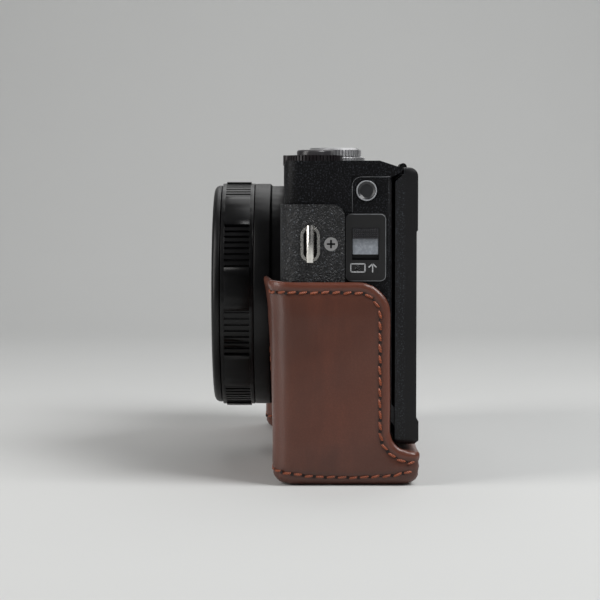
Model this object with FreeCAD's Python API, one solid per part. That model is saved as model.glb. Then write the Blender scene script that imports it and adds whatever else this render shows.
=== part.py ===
import FreeCAD, Part
import math
import os

# Compact camera in a leather half case.  Millimetres, +Z up, lens towards -Y, screen towards +Y.
# The origin is on the tripod axis, at the underside that the camera rests on.

V = FreeCAD.Vector
X_AXIS = V(1, 0, 0)
Y_AXIS = V(0, 1, 0)
Z_AXIS = V(0, 0, 1)

# ---- driving dimensions: camera body -------------------------------------------------------------
BODY_LEFT = 49.6            # end wall on the user's left
BODY_RIGHT = -61.0          # end wall on the user's right
BODY_HALF_DEPTH = 10.6
BODY_BOTTOM = 4.4
BODY_TOP = 64.1
WALL = 1.2
REAR_WALL = 1.6
FRONT_CORNER = 2.8
REAR_CORNER = 0.8
SEAM_HEIGHT = BODY_TOP - 10.2          # lower edge of the top cover
REAR_SEAM_HEIGHT = BODY_TOP - 3.2     # lower edge of the top cover above the rear cover
SEAM_DEPTH = 1.4            # where the front and rear covers meet
STEP_DEPTH = 2.9            # where the top cover's skirt ends on the end walls
GROOVE_WIDTH = 0.16
GROOVE_DEPTH = 0.35
SLOPE_START = BODY_HALF_DEPTH - 2.3
LIP_DEPTH = BODY_HALF_DEPTH + 2.1
LIP_TOP = BODY_TOP - 1.45
LIP_UNDERSIDE = BODY_TOP - 2.2
PRESS_GAP = 0.15            # gap round a button, each side
RUNNING_FIT = 0.06          # radial clearance of a turning fit

# ---- driving dimensions: skins and trim ----------------------------------------------------------
SKIN = 0.7
PANEL_TOP = SEAM_HEIGHT + 1.6
PANEL_CORNER = 2.5
GRIP_X = (BODY_RIGHT + 3.0, BODY_RIGHT + 15.0)
GRIP_Z = (BODY_BOTTOM + 4.6, SEAM_HEIGHT - 1.9)
GRIP_HEIGHT = 3.6
LUG_DEPTH = -5.4
LUG_HEIGHT = SEAM_HEIGHT - 6.2
LUG_SIZE = (3.8, 7.1)
LUG_WALL = 0.55
LUG_BAR_RADIUS = 0.8
SCREW_DEPTH = -1.3
SCREW_HEAD_RADIUS = 1.35
SCREW_SHANK_RADIUS = 0.7
BOTTOM_SCREWS = ((BODY_LEFT - 5.6, -6.5), (BODY_LEFT - 5.6, 6.5), (18.0, 7.5), (BODY_RIGHT + 37.0, -7.5))
LAMP_AT = (BODY_LEFT - 18.6, BODY_TOP - 6.1)
LAMP_RADIUS = 2.2
SCREW_HEAD_HEIGHT = SKIN

# ---- driving dimensions: lens --------------------------------------------------------------------
LENS_Z = 35.5
MOUNT_STEP = -BODY_HALF_DEPTH - 3.1
RING_BACK = -BODY_HALF_DEPTH - 6.7
LIP_BACK = RING_BACK - 7.0
LENS_FRONT = LIP_BACK - 1.8
RING_BORE = 22.5
RING_RADIUS = RING_BORE + 2.2
RIB_RADIUS = RING_RADIUS - 0.35
GROOVE_RADIUS = RING_RADIUS - 0.9
RIB_GROUPS = 8
RIBS_PER_GROUP = 7
RIB_PITCH_DEG = 3.2
FIRST_GROUP_DEG = 27.5
MOUNT_RADIUS = RING_RADIUS - 0.4
LIP_RADIUS = RING_RADIUS - 0.8
MOUNT_BORE = RING_BORE - 1.2
PANEL_INNER_EDGE = MOUNT_RADIUS + 2.2
HOUSING_RADIUS = MOUNT_BORE + 0.5
HOUSING_GAP = 0.3
BARREL_GAP = 0.3
BARREL_WALL = 2.1
BARREL_OUTER_RADIUS = MOUNT_BORE - 0.5
BARREL_INNER_RADIUS = BARREL_OUTER_RADIUS - BARREL_WALL - BARREL_GAP
BARREL_FRONT = LENS_FRONT + 0.7
BARREL_OUTER_BACK = -3.5
BARREL_INNER_BACK = -5.0
APERTURE_RADIUS = 7.2
FRONT_LENS_RADIUS = APERTURE_RADIUS + 2.0
REAR_LENS_RADIUS = 8.0
BLADE_POCKET = (BARREL_FRONT + 0.8, BARREL_FRONT + 2.5)
BLADE_Y = (BLADE_POCKET[0] + 0.35, BLADE_POCKET[0] + 0.8)
BLADE_RADIUS = APERTURE_RADIUS + 0.5
POCKET_RADIUS = BARREL_INNER_RADIUS - 1.7
BLADE_PIVOT = BLADE_RADIUS + (POCKET_RADIUS - BLADE_RADIUS) * 9 / 17

# ---- driving dimensions: top controls ------------------------------------------------------------
SHUTTER_AT = (BODY_RIGHT + 26.5, -3.9)
SHUTTER_RADIUS = 4.25
SHUTTER_TOP = BODY_TOP + 3.9
LEVER_RADIUS = SHUTTER_RADIUS + 2.35
LEVER_TAB = 0.9
LEVER_TOP = BODY_TOP + 2.6
DIAL_AT = (BODY_RIGHT + 11.0, 1.0)
EXPOSURE_RADIUS = 7.6
MODE_RADIUS = 6.6
MODE_TOP = BODY_TOP + 4.7
SPINDLE_RADIUS = 1.5
POWER_AT = (BODY_RIGHT + 40.5, 2.5)
POWER_RADIUS = 2.9
FLASH_X = (-9.8, 11.8)
FLASH_Y_FRONT = -BODY_HALF_DEPTH + 1.8
FLASH_BOTTOM = BODY_TOP - 3.9
FLASH_AXIS = (0.0, BODY_TOP - 1.6)    # depth and height of the flash hinge
FINDER_X = (BODY_LEFT - 27.6, BODY_LEFT - 3.6)
FINDER_Y = (-8.4, 6.2)
FINDER_BOTTOM = BODY_TOP - 11.7
FINDER_WALL = 1.0
EYE_X = (FINDER_X[0] + 6.0, FINDER_X[1] - 6.0)
EYE_Z = (FINDER_BOTTOM + 2.8, BODY_TOP - 2.9)

# ---- driving dimensions: end wall and rear controls ----------------------------------------------
BEZEL_Y = (1.55, BODY_HALF_DEPTH - 1.0)
BEZEL_Z = (SEAM_HEIGHT - 13.6, SEAM_HEIGHT - 0.2)
BEZEL_THICKNESS = 0.7
BEZEL_PROUD = 0.12
SWITCH_AT = (5.5, SEAM_HEIGHT - 5.7)
SWITCH_SIZE = 5.1
SWITCH_TRAVEL = 1.0
SWITCH_LAP = 0.6            # how far the switch's slider reaches behind the edges of its slot
RELEASE_AT = (5.7, BODY_TOP - 5.9)
RELEASE_RADIUS = 2.05
REAR_DIAL_AT = (BODY_RIGHT + 15.5, 26.0)
REAR_DIAL_RADIUS = 9.0
SET_RADIUS = 4.3
REAR_BUTTONS = {
    "record_button": (BODY_RIGHT + 6.5, 38.0),
    "play_button": (BODY_RIGHT + 23.5, 38.5),
    "menu_button": (BODY_RIGHT + 15.0, 11.8),
}
REAR_BUTTON_RADIUS = 2.1

# ---- driving dimensions: screen ------------------------------------------------------------------
SCREEN_X = (BODY_RIGHT + 31.0, BODY_LEFT - 1.0)
SCREEN_FRONT = BODY_HALF_DEPTH + 0.8
SCREEN_THICKNESS = 4.5
SCREEN_REAR = SCREEN_FRONT + SCREEN_THICKNESS
SCREEN_BOTTOM = BODY_BOTTOM + 3.5
SCREEN_TOP = BODY_TOP - 1.3
SCREEN_CORNER = 1.2
FLIP_AXIS = (BODY_HALF_DEPTH + 2.8, BODY_TOP - 1.1)    # depth and height
TILT_AXIS = (SCREEN_FRONT + 2.25, SCREEN_BOTTOM + 2.3)
BRACKET_Y = (BODY_HALF_DEPTH - 0.65, BODY_HALF_DEPTH + 0.15)
BRACKET_RECESS = BRACKET_Y[0] - 0.1
KNUCKLE_RADIUS = 0.75
PIN_RADIUS = 0.35
TILT_PIN_RADIUS = 0.5
FLIP_HINGES = (SCREEN_X[0] + 10.0, SCREEN_X[1] - 17.6)  # lower end of each hinge along X
KNUCKLE_LENGTH = 4.0
EAR_THICKNESS = 1.0

# ---- driving dimensions: inside the body ---------------------------------------------------------
CHASSIS_Y = (2.0, 2.8)
CHASSIS_TOP = SEAM_HEIGHT - 2.9
BOARD_Y = (3.6, 4.6)
BOARD_Z = (BODY_BOTTOM + 8.4, CHASSIS_TOP - 1.0)
INSIDE_X = (BODY_RIGHT + 32.5, BODY_LEFT - 2.1)
POST_X = (INSIDE_X[0] + 3.5, INSIDE_X[1] - 3.5)
POST_Z = (BOARD_Z[0] + 2.2, BOARD_Z[1] - 3.0)
MOTOR_AT = (BODY_LEFT - 19.6, -4.6)
CAPACITOR_AT = (BODY_LEFT - 8.6, -4.6)
NUT_X = (-7.0, 7.0)
NUT_Y = (-6.0, 6.0)
NUT_TOP = BODY_BOTTOM + 7.2

# ---- driving dimensions: doors, power and memory -------------------------------------------------
DOOR_X = (BODY_RIGHT + 3.0, BODY_RIGHT + 31.0)
DOOR_AXIS_Y = -6.4
DOOR_REAR_Y = 9.0
DOOR_THICKNESS = 1.0
DOOR_GAP = 0.25
PORT_Y = (2.6, 8.6)
PORT_Z = (SEAM_HEIGHT - 11.4, SEAM_HEIGHT - 1.4)
PORT_THICKNESS = 0.9
CELL_SIZE = (26.8, 11.1, 34.8)
CARD_SIZE = (24.0, 2.1, 32.0)
CELL_AT = (BODY_RIGHT + 3.7, -6.2, BODY_BOTTOM + 2.0)
CARD_AT = (BODY_RIGHT + 5.0, CELL_AT[1] + CELL_SIZE[1] + 1.0, BODY_BOTTOM + 2.0)

# ---- driving dimensions: half case ---------------------------------------------------------------
LEATHER = 1.3
CASE_GAP = 0.3
CASE_TOP = 40.3
CASE_REAR = SCREEN_REAR - 0.6
CASE_SIDE_REAR = BODY_HALF_DEPTH - 0.2
CASE_LIP_TOP = SCREEN_BOTTOM - 1.1
CASE_BOTTOM_ROUND = 3.0
CASE_CORNER = 4.2
CASE_TOP_CURVE = 6.5
CASE_FOOT_CURVE = 4.2
LENS_CUT_HALF = MOUNT_RADIUS + 3.2
BASE_TOP = BODY_BOTTOM - 0.1
SCREW_FLANGE_RADIUS = 8.0
SCREW_FLANGE_HEIGHT = 2.6
SCREW_BOSS_RADIUS = 4.6
SCREW_BOSS_TOP = BODY_BOTTOM - 0.3
SCREW_SHAFT_RADIUS = 2.55
SCREW_SHAFT_TOP = NUT_TOP - 1.4
SOCKET_RADIUS = 2.6
SOCKET_DEPTH = 3.7


# ---- building blocks -----------------------------------------------------------------------------
def block(x, y, z):
    """Box between three (low, high) pairs."""
    return Part.makeBox(x[1] - x[0], y[1] - y[0], z[1] - z[0], V(x[0], y[0], z[0]))


def round_edges(solid, axis, radius, keep=lambda point: True):
    """Round the straight edges that run along an axis and whose middle passes the test."""
    chosen = []
    for edge in solid.Edges:
        if not isinstance(edge.Curve, Part.Line):
            continue
        if abs(abs(edge.Curve.Direction.dot(axis)) - 1) < 1e-6 and keep(edge.CenterOfMass):
            chosen.append(edge)
    return solid.makeFillet(radius, chosen)


def placed(corner, size):
    """The three (low, high) pairs of a box from its low corner and its size."""
    return [(low, low + length) for low, length in zip(corner, size)]


def grown(pair, margin):
    """A (low, high) pair made larger at both ends."""
    return (pair[0] - margin, pair[1] + margin)


def rod(axis, centre, radius, low, high):
    """Cylinder along X, Y or Z; centre gives the two other coordinates in X, Y, Z order."""
    if axis == X_AXIS:
        base = V(low, centre[0], centre[1])
    elif axis == Y_AXIS:
        base = V(centre[0], low, centre[1])
    else:
        base = V(centre[0], centre[1], low)
    return Part.makeCylinder(radius, high - low, base, axis)


def tube(axis, centre, outer, inner, low, high):
    """Hollow cylinder."""
    return rod(axis, centre, outer, low, high).cut(rod(axis, centre, inner, low - 1, high + 1))


def side_profile(points, x):
    """Solid from a (depth, height) outline pushed along X; a bulge of three points is an arc."""
    edges = []
    count = len(points)
    for index in range(count):
        start = points[index]
        end = points[(index + 1) % count]
        a = V(x[0], start[0], start[1])
        b = V(x[0], end[0], end[1])
        if len(start) == 4:
            edges.append(Part.Arc(a, V(x[0], start[2], start[3]), b).toShape())
        else:
            edges.append(Part.LineSegment(a, b).toShape())
    return Part.Face(Part.Wire(edges)).extrude(V(x[1] - x[0], 0, 0))


def arc_middle(centre, radius, degrees):
    """A point on a circle, as the depth and height that an arc passes through."""
    angle = math.radians(degrees)
    return centre[0] + radius * math.cos(angle), centre[1] + radius * math.sin(angle)


def lens_turned(outline):
    """Solid turned round the lens axis from (radius, depth) points."""
    points = [V(r, y, LENS_Z) for r, y in outline]
    wire = Part.makePolygon(points + [points[0]])
    return Part.Face(wire).revolve(V(0, 0, LENS_Z), Y_AXIS, 360)


def toothed(centre, outer, inner, count, low, high):
    """Disc along Z with a fine knurled rim."""
    points = []
    for index in range(count):
        for radius, share in ((outer, -0.28), (outer, 0.28), (inner, 0.5)):
            angle = 2 * math.pi * (index + share) / count
            points.append(V(centre[0] + radius * math.cos(angle), centre[1] + radius * math.sin(angle), low))
    return Part.Face(Part.makePolygon(points + [points[0]])).extrude(V(0, 0, high - low))


def save(name, *solids):
    """Write one node as a STEP file."""
    flat = []
    for solid in solids:
        flat.extend(solid.Solids)
    shape = flat[0] if len(flat) == 1 else Part.makeCompound(flat)
    shape.exportStep("parts/" + name + ".step")
    print(name, len(flat), round(shape.Volume, 2))


# ---- camera body ---------------------------------------------------------------------------------
def plan_prism(margin, z):
    """The body's outline seen from above, grown by a margin, between two heights."""
    x = (BODY_RIGHT - margin, BODY_LEFT + margin)
    y = (-BODY_HALF_DEPTH - margin, BODY_HALF_DEPTH + margin)
    solid = round_edges(block(x, y, z), Z_AXIS, FRONT_CORNER + margin, lambda p: p.y < 0)
    return round_edges(solid, Z_AXIS, max(REAR_CORNER + margin, 0.2), lambda p: p.y > BODY_HALF_DEPTH / 2)


def body_cavity():
    """Room inside the covers."""
    x = (BODY_RIGHT + WALL, BODY_LEFT - WALL)
    y = (-BODY_HALF_DEPTH + WALL, BODY_HALF_DEPTH - REAR_WALL)
    return round_edges(block(x, y, (BODY_BOTTOM + WALL, BODY_TOP - WALL - 0.1)), Z_AXIS, FRONT_CORNER - WALL,
                       lambda p: p.y < 0)


def seam_band(z_middle, y):
    """Thin groove round the outside where two covers meet."""
    z = (z_middle - GROOVE_WIDTH / 2, z_middle + GROOVE_WIDTH / 2)
    ring = plan_prism(1, z).cut(plan_prism(-GROOVE_DEPTH, z))
    return ring.common(block((-100, 100), y, z))


def end_seam(depth, z):
    """Vertical groove on both end walls."""
    y = (depth - GROOVE_WIDTH / 2, depth + GROOVE_WIDTH / 2)
    left = block((BODY_LEFT - GROOVE_DEPTH, BODY_LEFT + 1), y, z)
    right = block((BODY_RIGHT - 1, BODY_RIGHT + GROOVE_DEPTH), y, z)
    return [left, right]


def seam_grooves():
    """All grooves between the covers."""
    return [
        seam_band(SEAM_HEIGHT, (-20, STEP_DEPTH)),
        seam_band(REAR_SEAM_HEIGHT, (STEP_DEPTH, 20)),
        seam_band(BODY_BOTTOM + WALL, (-20, 20)),
    ] + end_seam(SEAM_DEPTH, (BODY_BOTTOM + WALL, SEAM_HEIGHT)) + end_seam(STEP_DEPTH,
            (SEAM_HEIGHT, REAR_SEAM_HEIGHT))


def oval(at, size, x):
    """Upright oval bar along X; at and size are depth and height."""
    y = (at[0] - size[0] / 2, at[0] + size[0] / 2)
    z = (at[1] - size[1] / 2, at[1] + size[1] / 2)
    return round_edges(block(x, y, z), X_AXIS, size[0] / 2 - 0.01)


def lug_pockets():
    """Holes for both strap lugs."""
    at = (LUG_DEPTH, LUG_HEIGHT)
    return [oval(at, LUG_SIZE, (BODY_LEFT - 3, BODY_LEFT + 3)),
            oval(at, LUG_SIZE, (BODY_RIGHT - 3, BODY_RIGHT + 3))]


def end_screw_holes():
    """Shank holes of the two end screws."""
    at = (SCREW_DEPTH, LUG_HEIGHT)
    return [rod(X_AXIS, at, SCREW_SHANK_RADIUS, BODY_LEFT - 4, BODY_LEFT + 3),
            rod(X_AXIS, at, SCREW_SHANK_RADIUS, BODY_RIGHT - 3, BODY_RIGHT + 4)]


def lens_opening():
    """Round opening of the lens through the front of the covers."""
    return rod(Y_AXIS, (0, LENS_Z), HOUSING_RADIUS + HOUSING_GAP, -BODY_HALF_DEPTH - 1, 0)


def top_cover():
    """Top plate with its skirt, the wells of the controls and the lip over the screen hinge."""
    front = -BODY_HALF_DEPTH
    outline = [
        (front, SEAM_HEIGHT), (front, BODY_TOP - 0.7), (front + 0.5, BODY_TOP), (SLOPE_START, BODY_TOP),
        (LIP_DEPTH, LIP_TOP), (LIP_DEPTH, LIP_UNDERSIDE), (BODY_HALF_DEPTH, REAR_SEAM_HEIGHT),
        (STEP_DEPTH, REAR_SEAM_HEIGHT), (STEP_DEPTH, SEAM_HEIGHT),
    ]
    cover = side_profile(outline, (BODY_RIGHT, BODY_LEFT))
    lip = block((SCREEN_X[0] - 1, BODY_LEFT), (0, LIP_DEPTH + 1), (BODY_BOTTOM, BODY_TOP + 1))
    cover = cover.common(plan_prism(0, (BODY_BOTTOM, BODY_TOP + 1)).fuse(lip))
    lever_collar = tube(Z_AXIS, SHUTTER_AT, SHUTTER_RADIUS + 0.5, SHUTTER_RADIUS + PRESS_GAP, BODY_TOP,
                        BODY_TOP + 1.9)
    cuts = [body_cavity()] + seam_grooves() + [
        rod(Z_AXIS, SHUTTER_AT, 2.2, BODY_TOP - 3, BODY_TOP + 1),
        rod(Z_AXIS, DIAL_AT, SPINDLE_RADIUS, BODY_TOP - 3, BODY_TOP + 1),
        rod(Z_AXIS, POWER_AT, POWER_RADIUS + PRESS_GAP, BODY_TOP - 3, BODY_TOP + 1),
        block(grown(FLASH_X, 0.2), (FLASH_Y_FRONT - 0.45, FLASH_AXIS[0] + 1.8), (BODY_TOP - 3, BODY_TOP + 1)),
        block(grown(FINDER_X, 0.2), grown(FINDER_Y, 0.2), (BODY_TOP - 3, BODY_TOP + 1)),
        rod(Y_AXIS, LAMP_AT, LAMP_RADIUS, -BODY_HALF_DEPTH - 1, 0),
        lens_opening(),
    ]
    for start in FLIP_HINGES:
        x = (start - 0.2, start + 2 * KNUCKLE_LENGTH + 0.4)
        cuts.append(block(x, (LIP_DEPTH - 1.4, LIP_DEPTH + 1), (LIP_UNDERSIDE - 1.5, LIP_TOP + 1)))
    cover = cover.cut(cuts).fuse(lever_collar)
    for start in FLIP_HINGES:
        x = (start + KNUCKLE_LENGTH + 0.2, start + 2 * KNUCKLE_LENGTH + 0.2)
        web = block(x, (LIP_DEPTH - 1.5, FLIP_AXIS[0]), (FLIP_AXIS[1] - 0.7, FLIP_AXIS[1] - 0.05))
        cover = cover.fuse([rod(X_AXIS, FLIP_AXIS, KNUCKLE_RADIUS, x[0], x[1]), web])
        cover = cover.cut(rod(X_AXIS, FLIP_AXIS, PIN_RADIUS, x[0] - 1, x[1] + 1))
    return cover


def front_cover():
    """Front shell with the lens opening."""
    shell = plan_prism(0, (BODY_BOTTOM + WALL, SEAM_HEIGHT)).cut(body_cavity())
    shell = shell.common(block((-100, 100), (-20, SEAM_DEPTH), (0, 100)))
    return shell.cut([lens_opening()] + seam_grooves() + lug_pockets() + end_screw_holes())


def rear_cover():
    """Rear shell with the screen recess, the holes of the rear controls and the end wall pockets."""
    shell = plan_prism(0, (BODY_BOTTOM + WALL, REAR_SEAM_HEIGHT)).cut(body_cavity())
    lower = block((-100, 100), (SEAM_DEPTH, 20), (0, SEAM_HEIGHT))
    upper = block((-100, 100), (STEP_DEPTH, 20), (SEAM_HEIGHT - 1, REAR_SEAM_HEIGHT))
    shell = shell.common(lower.fuse(upper))
    recess_z = (SCREEN_BOTTOM + 3, REAR_SEAM_HEIGHT + 1)
    cuts = seam_grooves() + [
        block(grown(bracket_x(), 0.3), (BRACKET_RECESS, 20), recess_z),
        rod(Y_AXIS, REAR_DIAL_AT, REAR_DIAL_RADIUS + 0.2, 0, 20),
        rod(X_AXIS, RELEASE_AT, RELEASE_RADIUS + PRESS_GAP, BODY_LEFT - 3, BODY_LEFT + 1),
        bezel_block(0),
        block((BODY_LEFT - 5, BODY_LEFT + 1), switch_slot()[0], switch_slot()[1]),
        block((BODY_RIGHT - 1, BODY_RIGHT + WALL + 1), grown(PORT_Y, 0.25), grown(PORT_Z, 0.2)),
    ]
    for at in REAR_BUTTONS.values():
        cuts.append(rod(Y_AXIS, at, REAR_BUTTON_RADIUS + PRESS_GAP, 0, 20))
    return shell.cut(cuts)


def bottom_plate():
    """Underside with the battery door opening, tripod hole and screw holes."""
    plate = plan_prism(0, (BODY_BOTTOM, BODY_BOTTOM + WALL))
    opening = block(grown(DOOR_X, DOOR_GAP), (DOOR_AXIS_Y - 0.9, DOOR_REAR_Y + DOOR_GAP), (0, 10))
    cuts = [opening, rod(Z_AXIS, (0, 0), SCREW_SHAFT_RADIUS + 0.7, 0, 10),
            seam_band(BODY_BOTTOM + WALL, (-20, 20))]
    for at in BOTTOM_SCREWS:
        cuts.append(rod(Z_AXIS, at, SCREW_HEAD_RADIUS, BODY_BOTTOM - 1, BODY_BOTTOM + SCREW_HEAD_HEIGHT))
        cuts.append(rod(Z_AXIS, at, SCREW_SHANK_RADIUS, BODY_BOTTOM - 1, 10))
    return plate.cut(cuts)


def side_panel():
    """Textured skin round the end and onto the front."""
    z = (BODY_BOTTOM + WALL + 0.2, PANEL_TOP)
    skin = plan_prism(SKIN, z).cut(plan_prism(0, z))
    window = block((PANEL_INNER_EDGE, 60), (-20, SEAM_DEPTH), z)
    window = round_edges(window, X_AXIS, PANEL_CORNER, lambda p: p.y > 0 and p.z > z[1] - 1)
    skin = skin.common(window)
    lens_edge = rod(Y_AXIS, (0, LENS_Z), MOUNT_RADIUS + 1.2, -20, 0)
    screw = rod(X_AXIS, (SCREW_DEPTH, LUG_HEIGHT), SCREW_HEAD_RADIUS, BODY_LEFT, BODY_LEFT + 3)
    return skin.cut([lens_edge, screw, lug_pockets()[0]])


def front_grip():
    """Moulded grip bar on the front."""
    y = (-BODY_HALF_DEPTH - GRIP_HEIGHT, -BODY_HALF_DEPTH)
    bar = round_edges(block(GRIP_X, y, GRIP_Z), Z_AXIS, 1.8, lambda p: p.y < -BODY_HALF_DEPTH - 1)
    return round_edges(bar, X_AXIS, 1.2, lambda p: p.y < -BODY_HALF_DEPTH - 1)


def thumb_rest():
    """Raised pad for the thumb at the rear."""
    y = (BODY_HALF_DEPTH, BODY_HALF_DEPTH + 1.4)
    x = (BODY_RIGHT + 2.0, BODY_RIGHT + 12.5)
    pad = round_edges(block(x, y, (REAR_SEAM_HEIGHT - 17.9, REAR_SEAM_HEIGHT - 4.4)), Y_AXIS, 2.0)
    return pad.makeChamfer(0.4, [e for e in pad.Edges if abs(e.CenterOfMass.y - y[1]) < 1e-6])


def strap_lugs():
    """Two oval cups, each with an upright bar for the strap."""
    lugs = []
    for face, direction in ((BODY_LEFT + SKIN + 0.2, 1), (BODY_RIGHT - 0.2, -1)):
        deep = face - direction * 3.0
        at = (LUG_DEPTH, LUG_HEIGHT)
        x = (min(face, deep), max(face, deep))
        cup = oval(at, LUG_SIZE, x)
        hollow_end = face - direction * 2.4
        room = (min(face + direction, hollow_end), max(face + direction, hollow_end))
        cup = cup.cut(oval(at, (LUG_SIZE[0] - 2 * LUG_WALL, LUG_SIZE[1] - 2 * LUG_WALL), room))
        bar = rod(Z_AXIS, (face - direction * 0.1, LUG_DEPTH), LUG_BAR_RADIUS,
                  LUG_HEIGHT - LUG_SIZE[1] / 2 - 0.1,
                  LUG_HEIGHT + LUG_SIZE[1] / 2 + 0.1)
        outside = block(grown((BODY_RIGHT, BODY_LEFT + SKIN), 0), (-30, 30), (0, 70))
        spill = bar.cut(oval(at, LUG_SIZE, (x[0] - 3, x[1] + 3))).common(outside)
        lugs.append(cup.fuse(bar.cut(spill) if spill.Volume > 0 else bar))
    return lugs


def crosshead(axis, at, face, direction):
    """Small crosshead screw whose head is level with a face; direction points out of the face."""
    head = (min(face, face - direction * SCREW_HEAD_HEIGHT), max(face, face - direction * SCREW_HEAD_HEIGHT))
    shank = (min(face - direction * 3, face - direction * SCREW_HEAD_HEIGHT),
             max(face - direction * 3, face - direction * SCREW_HEAD_HEIGHT))
    screw = rod(axis, at, SCREW_HEAD_RADIUS, head[0], head[1])
    screw = screw.fuse(rod(axis, at, SCREW_SHANK_RADIUS, shank[0], shank[1]))
    slot = (face - 0.4, face + 0.4)
    long_half = SCREW_HEAD_RADIUS * 0.62
    thin_half = 0.19
    if axis == X_AXIS:
        bars = [block(slot, (at[0] - long_half, at[0] + long_half), (at[1] - thin_half, at[1] + thin_half)),
                block(slot, (at[0] - thin_half, at[0] + thin_half), (at[1] - long_half, at[1] + long_half))]
    else:
        bars = [block((at[0] - long_half, at[0] + long_half), (at[1] - thin_half, at[1] + thin_half), slot),
                block((at[0] - thin_half, at[0] + thin_half), (at[1] - long_half, at[1] + long_half), slot)]
    return screw.cut(bars)


def body_screws():
    """End screws and underside screws."""
    at = (SCREW_DEPTH, LUG_HEIGHT)
    screws = [crosshead(X_AXIS, at, BODY_LEFT + SKIN, 1)]
    for place in BOTTOM_SCREWS:
        screws.append(crosshead(Z_AXIS, place, BODY_BOTTOM, -1))
    return screws


def bezel_block(proud):
    """Rounded plate seated in the rear cover's end wall."""
    x = (BODY_LEFT - BEZEL_THICKNESS, BODY_LEFT + proud)
    return round_edges(block(x, BEZEL_Y, BEZEL_Z), X_AXIS, 1.2)


def switch_slot():
    """Depth and height range of the opening that the finder switch slides in."""
    half = SWITCH_SIZE / 2
    y = grown((SWITCH_AT[0] - half, SWITCH_AT[0] + half), 0.1)
    z = (SWITCH_AT[1] - half - SWITCH_TRAVEL - 0.1, SWITCH_AT[1] + half + 0.1)
    return y, z


def finder_bezel():
    """Inset plate round the finder switch."""
    y, z = switch_slot()
    plate = bezel_block(BEZEL_PROUD).cut(block((BODY_LEFT - 5, BODY_LEFT + 5), y, z))
    return plate.makeChamfer(0.08, [e for e in plate.Edges
                                    if abs(e.CenterOfMass.x - BODY_LEFT - BEZEL_PROUD) < 1e-6
                                    and (e.CenterOfMass.y < BEZEL_Y[0] + 0.7 or e.CenterOfMass.y > BEZEL_Y[1] - 0.7
                                         or e.CenterOfMass.z < BEZEL_Z[0] + 0.7)])


def finder_switch():
    """Slide switch: a ribbed upper part over a smooth ramp."""
    half = SWITCH_SIZE / 2
    y = (SWITCH_AT[0] - half, SWITCH_AT[0] + half)
    step = SWITCH_AT[1] + half * 0.2
    ramp = block((BODY_LEFT - 1.0, BODY_LEFT - 0.15), y, (SWITCH_AT[1] - half, step))
    grip = block((BODY_LEFT - 1.0, BODY_LEFT + 0.35), y, (step, SWITCH_AT[1] + half))
    cuts = []
    rib = 0.42
    for index in range(1, 12):
        at = y[0] + index * rib
        cuts.append(block((BODY_LEFT + 0.15, BODY_LEFT + 1), (at - 0.08, at + 0.08), (step, step + half)))
    for index in range(1, 4):
        at = step + index * rib
        cuts.append(block((BODY_LEFT + 0.15, BODY_LEFT + 1), y, (at - 0.08, at + 0.08)))
    behind = (BODY_LEFT - WALL - 0.7, BODY_LEFT - WALL - 0.15)
    slot_y, slot_z = switch_slot()
    slider = block(behind, grown(slot_y, SWITCH_LAP), (slot_z[0] - SWITCH_LAP, slot_z[1] + SWITCH_TRAVEL + SWITCH_LAP))
    stem = block((behind[1], BODY_LEFT - 1.0), y, (SWITCH_AT[1] - half, SWITCH_AT[1] + half))
    return ramp.fuse([grip.cut(cuts), slider, stem])


def flash_release():
    """Round dished button with a raised rim."""
    button = rod(X_AXIS, RELEASE_AT, RELEASE_RADIUS, BODY_LEFT - 0.9, BODY_LEFT + 0.35)
    dish = Part.makeCone(RELEASE_RADIUS - 0.75, RELEASE_RADIUS - 0.3, 0.3,
                         V(BODY_LEFT + 0.06, RELEASE_AT[0], RELEASE_AT[1]), X_AXIS)
    return button.cut(dish)


def assist_lamp():
    """Clear window of the focus lamp."""
    return rod(Y_AXIS, LAMP_AT, LAMP_RADIUS, -BODY_HALF_DEPTH - 0.04, -BODY_HALF_DEPTH + WALL)


# ---- inside the body -----------------------------------------------------------------------------
def chassis():
    """Frame plate between the lens and the main board, with a foot over the tripod insert."""
    plate = block(INSIDE_X, CHASSIS_Y, (BODY_BOTTOM + WALL, CHASSIS_TOP))
    plate = plate.cut(block(NUT_X, NUT_Y, (0, NUT_TOP)))
    spacers = [rod(Y_AXIS, (x, z), 1.4, CHASSIS_Y[1], BOARD_Y[0]) for x in POST_X for z in POST_Z]
    foot = block(grown(NUT_X, 2.0), NUT_Y, (NUT_TOP, NUT_TOP + 0.8))
    return plate.fuse(spacers + [foot])


def tripod_nut():
    """Threaded insert in the base of the frame."""
    z = (BODY_BOTTOM + WALL, NUT_TOP)
    nut = block(NUT_X, NUT_Y, z)
    return nut.cut(rod(Z_AXIS, (0, 0), SOCKET_RADIUS + 0.02, z[0] - 1, SCREW_SHAFT_TOP + 0.6))


def main_board():
    """Circuit board behind the frame plate."""
    return block(INSIDE_X, BOARD_Y, BOARD_Z)


def board_chips():
    """Packages on the rear face of the board."""
    chips = []
    for x, z, width, height in ((0, 30, 14, 14), (18, 22, 9, 9), (30, 36, 11, 8), (-16, 18, 8, 10), (20, 42, 6, 6)):
        chips.append(block((x - width / 2, x + width / 2), (BOARD_Y[1], BOARD_Y[1] + 1.1),
                           (z - height / 2, z + height / 2)))
    return chips


def image_sensor():
    """Sensor package in front of its carrier."""
    return block((-8.5, 8.5), (-0.4, 0.8), (LENS_Z - 6.5, LENS_Z + 6.5))


def sensor_plate():
    """Metal carrier of the sensor, fixed to the frame plate."""
    plate = block((-18.0, 18.0), (0.8, 1.6), (LENS_Z - 14, LENS_Z + 14))
    posts = [rod(Y_AXIS, (x, LENS_Z + z), 1.3, 1.6, CHASSIS_Y[0]) for x in (-15, 15) for z in (-11, 11)]
    return plate.fuse(posts)


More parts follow.
